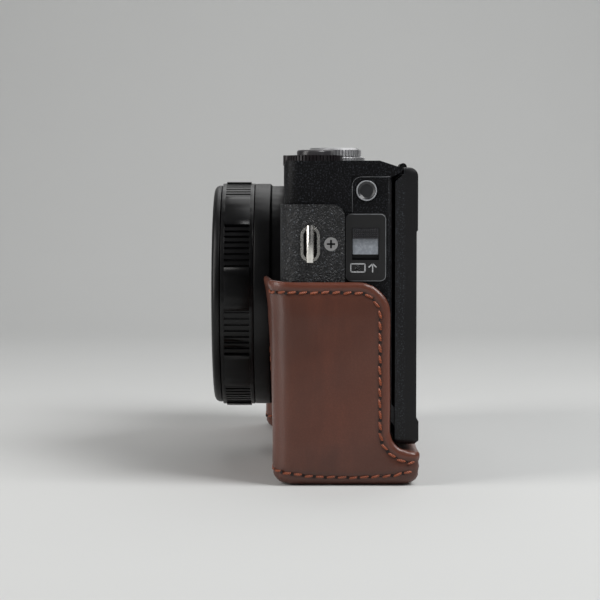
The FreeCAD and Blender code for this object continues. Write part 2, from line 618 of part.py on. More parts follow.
def battery_holder():
    """Compartment round the cell, open at the underside."""
    gap = 0.15
    x, y, z = placed(CELL_AT, CELL_SIZE)
    outer = block(grown(x, 1.0), (y[0] - 1.0, CARD_AT[1]), (BODY_BOTTOM + WALL, z[1] + 1.2))
    return outer.cut(block(grown(x, gap), grown(y, gap), (0, z[1] + gap)))


def battery():
    """Rechargeable cell with rounded upright edges."""
    return round_edges(block(*placed(CELL_AT, CELL_SIZE)), Z_AXIS, 1.5)


def memory_card():
    """Card with one clipped corner."""
    x, y, z = placed(CARD_AT, CARD_SIZE)
    card = block(x, y, z)
    corner = [e for e in card.Edges if abs(e.CenterOfMass.x - x[0]) < 1e-6 and abs(e.CenterOfMass.z - z[1]) < 1e-6]
    return card.makeChamfer(3.5, corner)


def flash_capacitor():
    """Upright capacitor beside the lens."""
    return rod(Z_AXIS, CAPACITOR_AT, 3.6, BODY_BOTTOM + 4.0, BODY_BOTTOM + 37.6)


def zoom_motor():
    """Motor with its shaft, beside the lens."""
    can_top = BODY_BOTTOM + 17.6
    can = rod(Z_AXIS, MOTOR_AT, 3.0, BODY_BOTTOM + WALL, can_top)
    return can.fuse(rod(Z_AXIS, MOTOR_AT, 0.6, can_top, can_top + 4.0))


def port_sockets():
    """Two connectors behind the port door."""
    sockets = []
    face = BODY_RIGHT + 1.6
    y = (PORT_Y[0] + 0.7, PORT_Y[1] - 0.5)
    for low in (PORT_Z[0] + 1.2, PORT_Z[1] - 4.1):
        z = (low, low + 3.0)
        shell = block((face, face + 5.4), y, z)
        sockets.append(shell.cut(block((face - 0.6, face + 4.4), grown(y, -0.4), grown(z, -0.4))))
    return sockets


# ---- lens ----------------------------------------------------------------------------------------
def lens_mount():
    """Fixed barrel: base, sleeve under the control ring, and front lip."""
    return lens_turned([
        (MOUNT_BORE, -BODY_HALF_DEPTH), (MOUNT_RADIUS - 0.5, -BODY_HALF_DEPTH), (MOUNT_RADIUS - 0.5, MOUNT_STEP + 0.25),
        (MOUNT_RADIUS, MOUNT_STEP - 0.1), (MOUNT_RADIUS, RING_BACK + 0.1), (RING_BORE - RUNNING_FIT, RING_BACK + 0.1),
        (RING_BORE - RUNNING_FIT, LIP_BACK), (MOUNT_BORE, LIP_BACK),
    ])


def lens_lip():
    """Front lip that keeps the control ring on its sleeve."""
    return lens_turned([
        (MOUNT_BORE, LIP_BACK), (LIP_RADIUS, LIP_BACK), (LIP_RADIUS, LENS_FRONT + 1.0), (LIP_RADIUS - 0.25, LENS_FRONT + 0.4),
        (LIP_RADIUS - 0.9, LENS_FRONT), (MOUNT_BORE + 0.9, LENS_FRONT), (MOUNT_BORE, LENS_FRONT + 0.6),
    ])


def control_ring():
    """Turning ring with groups of fine ribs between smooth raised pads."""
    back = RING_BACK
    front = LIP_BACK + 0.1
    flange = 0.8
    middle = tube(Y_AXIS, (0, LENS_Z), RING_RADIUS, RING_BORE, front + flange, back - flange)
    cuts = []
    for group in range(RIB_GROUPS):
        centre = FIRST_GROUP_DEG + group * 360 / RIB_GROUPS
        cuts.append(rib_sector(centre, RIBS_PER_GROUP * RIB_PITCH_DEG, RIB_RADIUS, front, back, flange))
        for rib in range(RIBS_PER_GROUP + 1):
            at = centre + (rib - RIBS_PER_GROUP / 2) * RIB_PITCH_DEG
            cuts.append(rib_sector(at, RIB_PITCH_DEG * 0.42, GROOVE_RADIUS, front, back, flange))
    body = middle.cut(cuts)
    flanges = [tube(Y_AXIS, (0, LENS_Z), RIB_RADIUS, RING_BORE, front, front + flange),
               tube(Y_AXIS, (0, LENS_Z), RIB_RADIUS, RING_BORE, back - flange, back)]
    return body.fuse(flanges)


def rib_sector(centre_deg, width_deg, inner, front, back, flange):
    """Wedge outside a radius, used to lower part of the ring's surface."""
    points = []
    steps = 4
    for index in range(steps + 1):
        angle = math.radians(centre_deg + width_deg * (index / steps - 0.5))
        points.append((inner, angle))
    for index in range(steps, -1, -1):
        angle = math.radians(centre_deg + width_deg * (index / steps - 0.5))
        points.append((RING_RADIUS + 1, angle))
    corners = [V(r * math.cos(a), front + flange, LENS_Z + r * math.sin(a)) for r, a in points]
    face = Part.Face(Part.makePolygon(corners + [corners[0]]))
    return face.extrude(V(0, back - front - 2 * flange, 0))


def lens_housing():
    """Inner tube behind the front cover with its rear plate."""
    return lens_turned([
        (REAR_LENS_RADIUS, -1.4), (REAR_LENS_RADIUS, -0.6), (HOUSING_RADIUS, -0.6), (HOUSING_RADIUS, -BODY_HALF_DEPTH),
        (BARREL_OUTER_RADIUS + 0.4, -BODY_HALF_DEPTH), (BARREL_OUTER_RADIUS + 0.4, -1.4),
    ])


def rear_element():
    """Rear lens group in the housing's plate."""
    return lens_turned([(0, -2.9), (4.5, -2.7), (REAR_LENS_RADIUS, -2.0), (REAR_LENS_RADIUS, -0.6), (0, -0.6)])


def barrel_outer():
    """First telescoping barrel."""
    inner = BARREL_INNER_RADIUS + BARREL_GAP
    return lens_turned([(inner, BARREL_FRONT), (BARREL_OUTER_RADIUS, BARREL_FRONT), (BARREL_OUTER_RADIUS, BARREL_OUTER_BACK),
                        (inner, BARREL_OUTER_BACK)])


def barrel_inner():
    """Second barrel with the aperture plate, the pocket of the cover blades and the front lens cell."""
    r = BARREL_INNER_RADIUS
    bore = r - 2.7
    cell_back = BARREL_FRONT + 7.9
    return lens_turned([
        (APERTURE_RADIUS + 1.6, BARREL_FRONT), (r, BARREL_FRONT), (r, BARREL_INNER_BACK), (bore, BARREL_INNER_BACK),
        (bore, cell_back), (FRONT_LENS_RADIUS, cell_back), (FRONT_LENS_RADIUS, BLADE_POCKET[1]), (POCKET_RADIUS, BLADE_POCKET[1]),
        (POCKET_RADIUS, BLADE_POCKET[0]), (APERTURE_RADIUS, BLADE_POCKET[0]),
    ])


def front_element():
    """Front lens, domed towards the subject."""
    radius = FRONT_LENS_RADIUS
    rim = BLADE_POCKET[1]
    return lens_turned([(0, rim - 0.4), (3.0, rim - 0.3), (6.0, rim), (radius, rim + 0.7), (radius, rim + 4.9), (0, rim + 4.9)])


def barrier_blade(sign):
    """Half of the lens cover, with its arm and pivot eye; sign is +1 for the upper blade."""
    disc = rod(Y_AXIS, (0, LENS_Z), BLADE_RADIUS, BLADE_Y[0], BLADE_Y[1])
    half = disc.common(block((-20, 20), (-40, 0), (LENS_Z + 0.05, LENS_Z + 20)))
    arm = block((4.0, BLADE_PIVOT), BLADE_Y, (LENS_Z + 0.05, LENS_Z + 1.9))
    eye = rod(Y_AXIS, (BLADE_PIVOT, LENS_Z), 1.3, BLADE_Y[0], BLADE_Y[1])
    blade = half.fuse([arm, eye]).removeSplitter()
    if sign < 0:
        blade.rotate(V(0, 0, LENS_Z), Y_AXIS, 180)
    return blade


# ---- top controls --------------------------------------------------------------------------------
def shutter_button():
    """Release button with a dished top and a stem."""
    cap = rod(Z_AXIS, SHUTTER_AT, SHUTTER_RADIUS, BODY_TOP + 1.0, SHUTTER_TOP)
    cap = cap.makeFillet(0.6, [e for e in cap.Edges if abs(e.CenterOfMass.z - SHUTTER_TOP) < 1e-6])
    dish = Part.makeSphere(14.0, V(SHUTTER_AT[0], SHUTTER_AT[1], SHUTTER_TOP + 13.6))
    return cap.cut(dish).fuse(rod(Z_AXIS, SHUTTER_AT, 1.9, BODY_TOP - 2.6, BODY_TOP + 1.0))


def zoom_lever():
    """Turning ring round the shutter button with a finger tab at the front."""
    inner = SHUTTER_RADIUS + 0.5 + 0.1
    z = (BODY_TOP + 0.2, LEVER_TOP)
    ring = toothed(SHUTTER_AT, LEVER_RADIUS, LEVER_RADIUS - 0.25, 48, z[0], z[1])
    tab_end = SHUTTER_AT[1] - LEVER_RADIUS - LEVER_TAB
    tab = block((SHUTTER_AT[0] - 2.4, SHUTTER_AT[0] + 2.4), (tab_end, SHUTTER_AT[1] - SHUTTER_RADIUS - 0.75), z)
    tab = round_edges(tab, Z_AXIS, 1.4, lambda p: p.y < tab_end + 0.1)
    return ring.fuse(tab).cut(rod(Z_AXIS, SHUTTER_AT, inner, z[0] - 1, z[1] + 1))


def dial_spindle():
    """Fixed pin that both stacked dials turn on."""
    return rod(Z_AXIS, DIAL_AT, SPINDLE_RADIUS, BODY_TOP - 2.0, MODE_TOP - 0.8)


def exposure_dial():
    """Lower, wider dial."""
    dial = toothed(DIAL_AT, EXPOSURE_RADIUS, EXPOSURE_RADIUS - 0.3, 60, BODY_TOP + 0.2, BODY_TOP + 2.4)
    return dial.cut(rod(Z_AXIS, DIAL_AT, SPINDLE_RADIUS + RUNNING_FIT, BODY_TOP, BODY_TOP + 5))


def mode_dial():
    """Upper dial with a knurled rim and a raised cap."""
    top = MODE_TOP
    dial = toothed(DIAL_AT, MODE_RADIUS, MODE_RADIUS - 0.3, 52, BODY_TOP + 2.6, top - 0.5)
    cap = Part.makeCone(MODE_RADIUS - 0.35, MODE_RADIUS - 0.8, 0.5, V(DIAL_AT[0], DIAL_AT[1], top - 0.5))
    dial = dial.fuse(cap)
    return dial.cut(rod(Z_AXIS, DIAL_AT, SPINDLE_RADIUS + RUNNING_FIT, BODY_TOP, top - 0.7))


def power_button():
    """Round button level with the top plate."""
    return rod(Z_AXIS, POWER_AT, POWER_RADIUS, BODY_TOP - 1.6, BODY_TOP + 0.5)


def flash_head():
    """Lifting flash with its reflector recess in the front face."""
    y_axis, z_axis = FLASH_AXIS
    reach = 1.6
    front = FLASH_Y_FRONT
    middle = arc_middle(FLASH_AXIS, reach, 45)
    outline = [(front, FLASH_BOTTOM), (y_axis + reach, FLASH_BOTTOM), (y_axis + reach, z_axis, middle[0], middle[1]),
               (y_axis, z_axis + reach), (front + 0.4, BODY_TOP), (front, BODY_TOP - 0.4)]
    head = side_profile(outline, FLASH_X)
    return head.cut(flash_window())


def flash_window():
    """Ribbed cover of the flash tube."""
    x = (FLASH_X[0] + 2.0, FLASH_X[1] - 2.0)
    return block(x, (FLASH_Y_FRONT, FLASH_Y_FRONT + 0.8), (FLASH_BOTTOM + 0.7, BODY_TOP - 0.9))


def finder_room(y):
    """Inside of the viewfinder box over a range of depths."""
    return block(grown(FINDER_X, -FINDER_WALL), y, (FINDER_BOTTOM + FINDER_WALL, BODY_TOP - FINDER_WALL))


def finder_housing():
    """Lifting box of the viewfinder, open at the front and rear for its lenses."""
    box = block(FINDER_X, FINDER_Y, (FINDER_BOTTOM, BODY_TOP))
    box = round_edges(box, X_AXIS, 0.4, lambda p: p.z > BODY_TOP - 1)
    room = finder_room((FINDER_Y[0] - 1, FINDER_Y[1] + 1))
    return box.cut(room)


def finder_window():
    """Front pane of the viewfinder."""
    return finder_room((FINDER_Y[0] + 0.5, FINDER_Y[0] + 1.5))


def finder_eyepiece():
    """Rear block of the viewfinder with the opening of the eye lens."""
    body = finder_room((0.0, FINDER_Y[1] - 0.2))
    return body.cut(block(EYE_X, (-1, 10), EYE_Z))


def eyepiece_lens():
    """Eye lens."""
    return block(EYE_X, (1.5, FINDER_Y[1] - 1.2), EYE_Z)


# ---- rear controls -------------------------------------------------------------------------------
def rear_dial():
    """Knurled turning ring round the set button."""
    y = (BODY_HALF_DEPTH - 1.4, BODY_HALF_DEPTH + 0.9)
    ring = tube(Y_AXIS, REAR_DIAL_AT, REAR_DIAL_RADIUS, SET_RADIUS + PRESS_GAP, y[0], y[1])
    cuts = []
    teeth = 40
    for index in range(teeth):
        angle = 2 * math.pi * index / teeth
        at = (REAR_DIAL_AT[0] + REAR_DIAL_RADIUS * math.cos(angle), REAR_DIAL_AT[1] + REAR_DIAL_RADIUS * math.sin(angle))
        cuts.append(rod(Y_AXIS, at, 0.3, BODY_HALF_DEPTH, y[1] + 1))
    return ring.cut(cuts)


def set_button():
    """Round centre button."""
    return rod(Y_AXIS, REAR_DIAL_AT, SET_RADIUS, BODY_HALF_DEPTH - 1.0, BODY_HALF_DEPTH + 1.1)


def rear_button(at):
    """Small round button in the rear cover."""
    return rod(Y_AXIS, at, REAR_BUTTON_RADIUS, BODY_HALF_DEPTH - 1.0, BODY_HALF_DEPTH + 0.7)


# ---- screen --------------------------------------------------------------------------------------
def bracket_x():
    """Range of the bracket along X, just inside the ends of the screen."""
    return SCREEN_X[0] + 1.1, SCREEN_X[1] - 1.1


def ear_ranges():
    """Range of each tilt ear along X."""
    low, high = bracket_x()
    return (low, low + EAR_THICKNESS), (high - EAR_THICKNESS, high)


def screen_bracket():
    """Plate between body and screen: arms to the flip hinge above, ears to the tilt hinge below."""
    x = bracket_x()
    plate = block(x, BRACKET_Y, (SCREEN_BOTTOM + 4.4, REAR_SEAM_HEIGHT - 1.0))
    parts = []
    for start in FLIP_HINGES:
        arm_x = (start, start + KNUCKLE_LENGTH)
        outline = [(BRACKET_Y[0], REAR_SEAM_HEIGHT - 1.6), (BRACKET_Y[1], REAR_SEAM_HEIGHT - 1.9),
                   (FLIP_AXIS[0] + 0.3, FLIP_AXIS[1] - 0.6), (FLIP_AXIS[0] - 0.4, FLIP_AXIS[1] + 0.35)]
        parts.append(side_profile(outline, arm_x))
        parts.append(rod(X_AXIS, FLIP_AXIS, KNUCKLE_RADIUS, arm_x[0], arm_x[1]))
    for ear_x in ear_ranges():
        outline = [(BRACKET_Y[0], SCREEN_BOTTOM + 4.6), (BRACKET_Y[1], SCREEN_BOTTOM + 4.4),
                   (TILT_AXIS[0] - 0.9, TILT_AXIS[1] - 0.8), (TILT_AXIS[0] + 0.6, TILT_AXIS[1] + 1.0),
                   (BRACKET_Y[1], SCREEN_BOTTOM + 8.0), (BRACKET_Y[0], SCREEN_BOTTOM + 8.0)]
        parts.append(side_profile(outline, ear_x))
        parts.append(rod(X_AXIS, TILT_AXIS, 1.15, ear_x[0], ear_x[1]))
    bracket = plate.fuse(parts)
    cuts = [rod(X_AXIS, TILT_AXIS, TILT_PIN_RADIUS + RUNNING_FIT, x[0] - 1, x[1] + 1)]
    for start in FLIP_HINGES:
        cuts.append(rod(X_AXIS, FLIP_AXIS, PIN_RADIUS + RUNNING_FIT, start - 1, start + KNUCKLE_LENGTH + 0.1))
    return bracket.cut(cuts).removeSplitter()


def hinge_pins():
    """Two pins of the flip hinge."""
    return [rod(X_AXIS, FLIP_AXIS, PIN_RADIUS, start, start + 2 * KNUCKLE_LENGTH + 0.2) for start in FLIP_HINGES]


def tilt_pins():
    """Two pins of the tilt hinge, fixed in the screen."""
    return [rod(X_AXIS, TILT_AXIS, TILT_PIN_RADIUS, ear[0] - 0.7, ear[1] + 0.7) for ear in ear_ranges()]


def glass_block():
    """Room of the display pane in the screen's rear face."""
    return block((SCREEN_X[0] + 3.0, SCREEN_X[1] - 3.0), (SCREEN_REAR - 0.85, SCREEN_REAR - 0.25),
                 (SCREEN_BOTTOM + 5.6, SCREEN_TOP - 2.6))


def screen_frame():
    """Screen casing with notches for the flip hinge and slots for the tilt ears."""
    top_round = 1.8
    corner = (SCREEN_REAR - top_round, SCREEN_TOP - top_round)
    middle = arc_middle(corner, top_round, 45)
    catch = SCREEN_REAR + 0.2
    waist = SCREEN_REAR - 0.25
    outline = [
        (SCREEN_FRONT, SCREEN_BOTTOM + 0.9), (SCREEN_FRONT, REAR_SEAM_HEIGHT - 0.9), (SCREEN_FRONT + 1.7, SCREEN_TOP - 1.3),
        (SCREEN_FRONT + 1.7, SCREEN_TOP), (corner[0], SCREEN_TOP, middle[0], middle[1]), (SCREEN_REAR, corner[1]),
        (SCREEN_REAR, SCREEN_TOP - 12.4), (waist, SCREEN_TOP - 12.7), (waist, SCREEN_BOTTOM + 5.2), (catch, SCREEN_BOTTOM + 4.6),
        (catch, SCREEN_BOTTOM + 0.8), (SCREEN_REAR - 0.6, SCREEN_BOTTOM), (SCREEN_FRONT + 0.7, SCREEN_BOTTOM),
    ]
    corners = round_edges(block(SCREEN_X, (0, 30), (SCREEN_BOTTOM, SCREEN_TOP)), Y_AXIS, SCREEN_CORNER)
    slab = side_profile(outline, SCREEN_X).common(corners)
    pane = glass_block()
    pocket = block((SCREEN_X[0] + 3.0, SCREEN_X[1] - 3.0), (SCREEN_REAR - 0.85, SCREEN_REAR + 1),
                   (SCREEN_BOTTOM + 5.6, SCREEN_TOP - 2.6))
    cuts = [pocket]
    for start in FLIP_HINGES:
        cuts.append(block((start - 0.3, start + 2 * KNUCKLE_LENGTH + 0.5), (SCREEN_FRONT - 1, SCREEN_REAR + 1),
                          (SCREEN_TOP - 1.6, SCREEN_TOP + 1)))
        cuts.append(block((start - 0.3, start + KNUCKLE_LENGTH + 0.3), (SCREEN_FRONT - 1, FLIP_AXIS[0] - 0.4),
                          (SCREEN_TOP - 4.0, SCREEN_TOP + 1)))
    for ear in ear_ranges():
        cuts.append(block(grown(ear, 0.2), (SCREEN_FRONT - 1, TILT_AXIS[0] + 1.45),
                          (SCREEN_BOTTOM + 0.6, SCREEN_BOTTOM + 10.5)))
    slab = slab.cut(cuts)
    return slab.cut([rod(X_AXIS, TILT_AXIS, TILT_PIN_RADIUS, ear[0] - 0.7, ear[1] + 0.7) for ear in ear_ranges()])


def screen_glass():
    """Display pane."""
    return glass_block()


# ---- doors ---------------------------------------------------------------------------------------
def battery_door():
    """Door in the underside with a full-round hinge edge at the front."""
    z = (BODY_BOTTOM, BODY_BOTTOM + DOOR_THICKNESS)
    middle = (z[0] + z[1]) / 2
    leaf = block(DOOR_X, (DOOR_AXIS_Y, DOOR_REAR_Y), z)
    return leaf.fuse(rod(X_AXIS, (DOOR_AXIS_Y, middle), DOOR_THICKNESS / 2, DOOR_X[0], DOOR_X[1])).removeSplitter()


def port_door():
    """Door over the sockets with a full-round hinge edge."""
    x = (BODY_RIGHT, BODY_RIGHT + PORT_THICKNESS)
    radius = PORT_THICKNESS / 2
    leaf = block(x, (PORT_Y[0] + radius, PORT_Y[1]), PORT_Z)
    edge = rod(Z_AXIS, (BODY_RIGHT + radius, PORT_Y[0] + radius), radius, PORT_Z[0], PORT_Z[1])
    return leaf.fuse(edge).removeSplitter()


# ---- half case -----------------------------------------------------------------------------------
def case_inside():
    """Inner faces of the leather: end walls, front wall and rear edge of the floor."""
    x = (BODY_RIGHT - CASE_GAP, BODY_LEFT + SKIN + CASE_GAP)
    front = -BODY_HALF_DEPTH - SKIN - CASE_GAP
    return x, front


def grip_pocket(margin, z):
    """The grip bar grown by a margin, standing on the front wall."""
    x = grown(GRIP_X, margin)
    y = (-BODY_HALF_DEPTH - GRIP_HEIGHT - margin, -BODY_HALF_DEPTH)
    return round_edges(block(x, y, z), Z_AXIS, 1.8 + margin, lambda p: p.y < -BODY_HALF_DEPTH - 1)


def case_door_opening(z):
    """Opening in the floor for the battery door."""
    return round_edges(block(grown(DOOR_X, 1.2), (DOOR_AXIS_Y - 1.5, DOOR_REAR_Y + 1.0), z), Z_AXIS, 1.5)


def case_shell():
    """Leather skin: outer form less the room for the camera, trimmed to its edges and openings."""
    x_in, front_in = case_inside()
    outer = block(grown(x_in, LEATHER), (front_in - LEATHER, CASE_REAR), (0, CASE_TOP))
    outer = round_edges(outer, Z_AXIS, CASE_CORNER, lambda p: p.y < 0)
    outer = round_edges(outer, Z_AXIS, 2.0, lambda p: p.y > 0)
    hump = grip_pocket(CASE_GAP + LEATHER, (0, CASE_TOP))
    hump_x = grown(GRIP_X, CASE_GAP + LEATHER)
    outer = outer.makeFillet(CASE_BOTTOM_ROUND, [e for e in outer.Edges if abs(e.BoundBox.ZMax) < 1e-6])
    hump = hump.makeFillet(CASE_BOTTOM_ROUND, [e for e in hump.Edges if abs(e.BoundBox.ZMax) < 1e-6
                                               and e.CenterOfMass.y < -BODY_HALF_DEPTH - 1
                                               and abs(e.CenterOfMass.x - sum(hump_x) / 2) < 3])
    outer = outer.fuse(hump)
    inner_corner = max(CASE_CORNER - LEATHER, 0.5)
    room = round_edges(block(x_in, (front_in, BODY_HALF_DEPTH + CASE_GAP), (LEATHER, 90)), Z_AXIS, inner_corner,
                       lambda p: p.y < 0)
    rear_room = block(x_in, (0, CASE_REAR - LEATHER), (LEATHER, CASE_LIP_TOP - LEATHER))
    side = [(-30, -1), (-30, CASE_TOP), (CASE_SIDE_REAR - CASE_TOP_CURVE, CASE_TOP)]
    shoulder = (CASE_SIDE_REAR - CASE_TOP_CURVE, CASE_TOP - CASE_TOP_CURVE)
    bend = arc_middle(shoulder, CASE_TOP_CURVE, 45)
    side[-1] = side[-1] + bend
    foot_z = CASE_LIP_TOP + CASE_FOOT_CURVE
    heel = arc_middle((CASE_SIDE_REAR + CASE_FOOT_CURVE, foot_z), CASE_FOOT_CURVE, 225)
    side += [(CASE_SIDE_REAR, shoulder[1]), (CASE_SIDE_REAR, foot_z) + heel,
             (CASE_SIDE_REAR + CASE_FOOT_CURVE, CASE_LIP_TOP), (30, CASE_LIP_TOP), (30, -1)]
    trimmed = outer.common(side_profile(side, (-80, 80)))
    lens_cut = rod(Y_AXIS, (0, LENS_Z), LENS_CUT_HALF, -30, 0)
    lens_cut = lens_cut.fuse(block((-LENS_CUT_HALF, LENS_CUT_HALF), (-30, 0), (LENS_Z, 90)))
    return trimmed.cut([
        room, rear_room, block(x_in, (0, CASE_REAR + 9), (CASE_LIP_TOP, 90)), lens_cut,
        grip_pocket(CASE_GAP, (GRIP_Z[0] - CASE_GAP, 90)),
        case_door_opening((-1, 5)), rod(Z_AXIS, (0, 0), SCREW_FLANGE_RADIUS + CASE_GAP, -1, 5),
    ])


def case_base():
    """Stiff plate inside the floor of the case, and the strip that stiffens its rear edge."""
    x_in, front_in = case_inside()
    x = grown(x_in, -0.05)
    plate = round_edges(block(x, (front_in + 0.05, CASE_REAR - LEATHER), (LEATHER, BASE_TOP)), Z_AXIS, 3.2,
                        lambda p: p.y < 0)
    ridge = block(x, (BODY_HALF_DEPTH + CASE_GAP, CASE_REAR - LEATHER), (BASE_TOP, CASE_LIP_TOP - LEATHER))
    plate = plate.cut([
        case_door_opening((0, 9)),
        rod(Z_AXIS, (0, 0), SCREW_FLANGE_RADIUS + CASE_GAP, 0, SCREW_FLANGE_HEIGHT + 0.2),
        rod(Z_AXIS, (0, 0), SCREW_BOSS_RADIUS + CASE_GAP, 0, 9),
    ])
    return [plate, ridge]


def case_screw():
    """Thumb screw that holds the case to the camera and carries a tripod thread of its own."""
    flange = rod(Z_AXIS, (0, 0), SCREW_FLANGE_RADIUS, 0, SCREW_FLANGE_HEIGHT)
    boss = rod(Z_AXIS, (0, 0), SCREW_BOSS_RADIUS, 0, SCREW_BOSS_TOP)
    shaft = rod(Z_AXIS, (0, 0), SCREW_SHAFT_RADIUS, 0, SCREW_SHAFT_TOP)
    notches = [rod(Z_AXIS, (x, 0), 0.9, -1, 1.2) for x in (-5.6, 5.6)]
    return flange.fuse([boss, shaft]).cut([rod(Z_AXIS, (0, 0), SOCKET_RADIUS, -1, SOCKET_DEPTH)] + notches)


# ---- write every node ----------------------------------------------------------------------------
os.makedirs("parts", exist_ok=True)

save("front_cover", front_cover())
save("top_cover", top_cover())
save("rear_cover", rear_cover())
save("bottom_plate", bottom_plate())
save("side_panel", side_panel())
save("grip_pads", front_grip(), thumb_rest())
save("finder_bezel", finder_bezel())
save("strap_lugs", *strap_lugs())
save("body_screws", *body_screws())
save("assist_lamp", assist_lamp())
save("chassis", chassis())
save("tripod_nut", tripod_nut())
save("main_board", main_board())
save("board_chips", *board_chips())
save("image_sensor", image_sensor())
save("sensor_plate", sensor_plate())
save("battery_holder", battery_holder())
save("battery", battery())
save("memory_card", memory_card())
save("flash_capacitor", flash_capacitor())
save("zoom_motor", zoom_motor())
save("port_sockets", *port_sockets())
save("dial_spindle", dial_spindle())
save("lens_mount", lens_mount())
save("lens_lip", lens_lip())
save("control_ring", control_ring())
save("lens_housing", lens_housing())
save("rear_element", rear_element())
save("barrel_outer", barrel_outer())
save("barrel_inner", barrel_inner())
save("front_element", front_element())
save("barrier_upper", barrier_blade(1))
save("barrier_lower", barrier_blade(-1))
save("shutter_button", shutter_button())
save("zoom_lever", zoom_lever())
save("exposure_dial", exposure_dial())
save("mode_dial", mode_dial())
save("power_button", power_button())
save("flash_head", flash_head())
save("flash_window", flash_window())
save("finder_housing", finder_housing())
save("finder_eyepiece", finder_eyepiece())
save("finder_lenses", finder_window(), eyepiece_lens())
save("finder_switch", finder_switch())
save("flash_release", flash_release())
save("rear_dial", rear_dial())
save("set_button", set_button())
for button_name, button_at in REAR_BUTTONS.items():
    save(button_name, rear_button(button_at))
save("screen_bracket", screen_bracket())
save("hinge_pins", *hinge_pins())
save("tilt_pins", *tilt_pins())
save("screen_frame", screen_frame())
save("screen_glass", screen_glass())
save("battery_door", battery_door())
save("port_door", port_door())
save("case_shell", case_shell())
save("case_base", *case_base())
save("case_screw", case_screw())
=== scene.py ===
"""Looks of a compact camera that stands in a stitched leather half case."""

from __future__ import annotations

import logging
import math
import random
from dataclasses import dataclass
from enum import Enum
from typing import Callable, Iterable, Sequence, Union

import bmesh
import bpy
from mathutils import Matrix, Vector
from mathutils.bvhtree import BVHTree
from mathutils.kdtree import KDTree


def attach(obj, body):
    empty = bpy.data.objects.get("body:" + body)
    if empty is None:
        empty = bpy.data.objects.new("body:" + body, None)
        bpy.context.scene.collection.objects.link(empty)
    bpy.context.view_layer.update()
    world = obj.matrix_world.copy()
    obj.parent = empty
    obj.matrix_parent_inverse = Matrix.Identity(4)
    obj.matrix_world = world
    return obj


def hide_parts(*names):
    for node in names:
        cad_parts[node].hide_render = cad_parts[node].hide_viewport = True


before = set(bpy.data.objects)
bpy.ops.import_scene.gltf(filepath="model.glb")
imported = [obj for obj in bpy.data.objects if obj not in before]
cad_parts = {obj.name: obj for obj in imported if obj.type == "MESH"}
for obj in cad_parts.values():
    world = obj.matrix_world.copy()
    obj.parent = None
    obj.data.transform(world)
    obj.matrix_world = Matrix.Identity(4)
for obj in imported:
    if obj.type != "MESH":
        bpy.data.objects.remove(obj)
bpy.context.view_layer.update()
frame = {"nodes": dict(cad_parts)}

LOG = logging.getLogger("camera")
MM = 0.001
Colour = tuple[float, float, float]
Point = tuple[float, float, float]


def from_screen(red: int, green: int, blue: int) -> Colour:
    """Turn an 8-bit display colour into the linear colour that shaders use.

    Args:
        red: Red from 0 to 255.
        green: Green from 0 to 255.
        blue: Blue from 0 to 255.

    Returns:
        Linear red, green and blue from 0 to 1.
    """
    def channel(value: int) -> float:
        share = value / 255
        return share / 12.92 if share <= 0.04045 else ((share + 0.055) / 1.055) ** 2.4
    return channel(red), channel(green), channel(blue)


# ---- shader kit ----------------------------------------------------------------------------------
Number = Union["Value", float, int]


class Value:
    """A shader socket that adds Math nodes when it is used in an expression."""

    def __init__(self, graph: "Graph", socket: bpy.types.NodeSocket) -> None:
        """Wrap a socket.

        Args:
            graph: The material graph that the socket belongs to.
            socket: The output socket to read.
        """
        self.graph = graph
        self.socket = socket

    def math(self, operation: str, *others: Number, first: Number | None = None) -> "Value":
        """Add one Math node.

        Args:
            operation: Name of the Math node's operation.
            others: The operands that follow this value.
            first: An operand that stands before this value instead.

        Returns:
            The node's result.
        """
        operands = [self, *others] if first is None else [first, self]
        return self.graph.node("ShaderNodeMath", {"operation": operation}, dict(enumerate(operands)))

    def __add__(self, other: Number) -> "Value":
        """Sum."""
        return self.math("ADD", other)

    __radd__ = __add__

    def __sub__(self, other: Number) -> "Value":
        """Difference."""
        return self.math("SUBTRACT", other)

    def __rsub__(self, other: Number) -> "Value":
        """Difference with this value on the right."""
        return self.math("SUBTRACT", first=other)

    def __mul__(self, other: Number) -> "Value":
        """Product."""
        return self.math("MULTIPLY", other)

    __rmul__ = __mul__

    def __truediv__(self, other: Number) -> "Value":
        """Quotient."""
        return self.math("DIVIDE", other)

    def __pow__(self, other: Number) -> "Value":
        """Power."""
        return self.math("POWER", other)

    def __abs__(self) -> "Value":
        """Size without sign."""
        return self.math("ABSOLUTE")

    def ramp(self, low: float, high: float) -> "Value":
        """Smooth step from 0 at low to 1 at high.

        Args:
            low: Input that gives 0.
            high: Input that gives 1.

        Returns:
            The stepped value.
        """
        settings = {"interpolation_type": "SMOOTHSTEP"}
        sockets = {"Value": self, "From Min": low, "From Max": high, "To Min": 0.0, "To Max": 1.0}
        return self.graph.node("ShaderNodeMapRange", settings, sockets)

    def highest(self, other: Number) -> "Value":
        """The larger of two values."""
        return self.math("MAXIMUM", other)


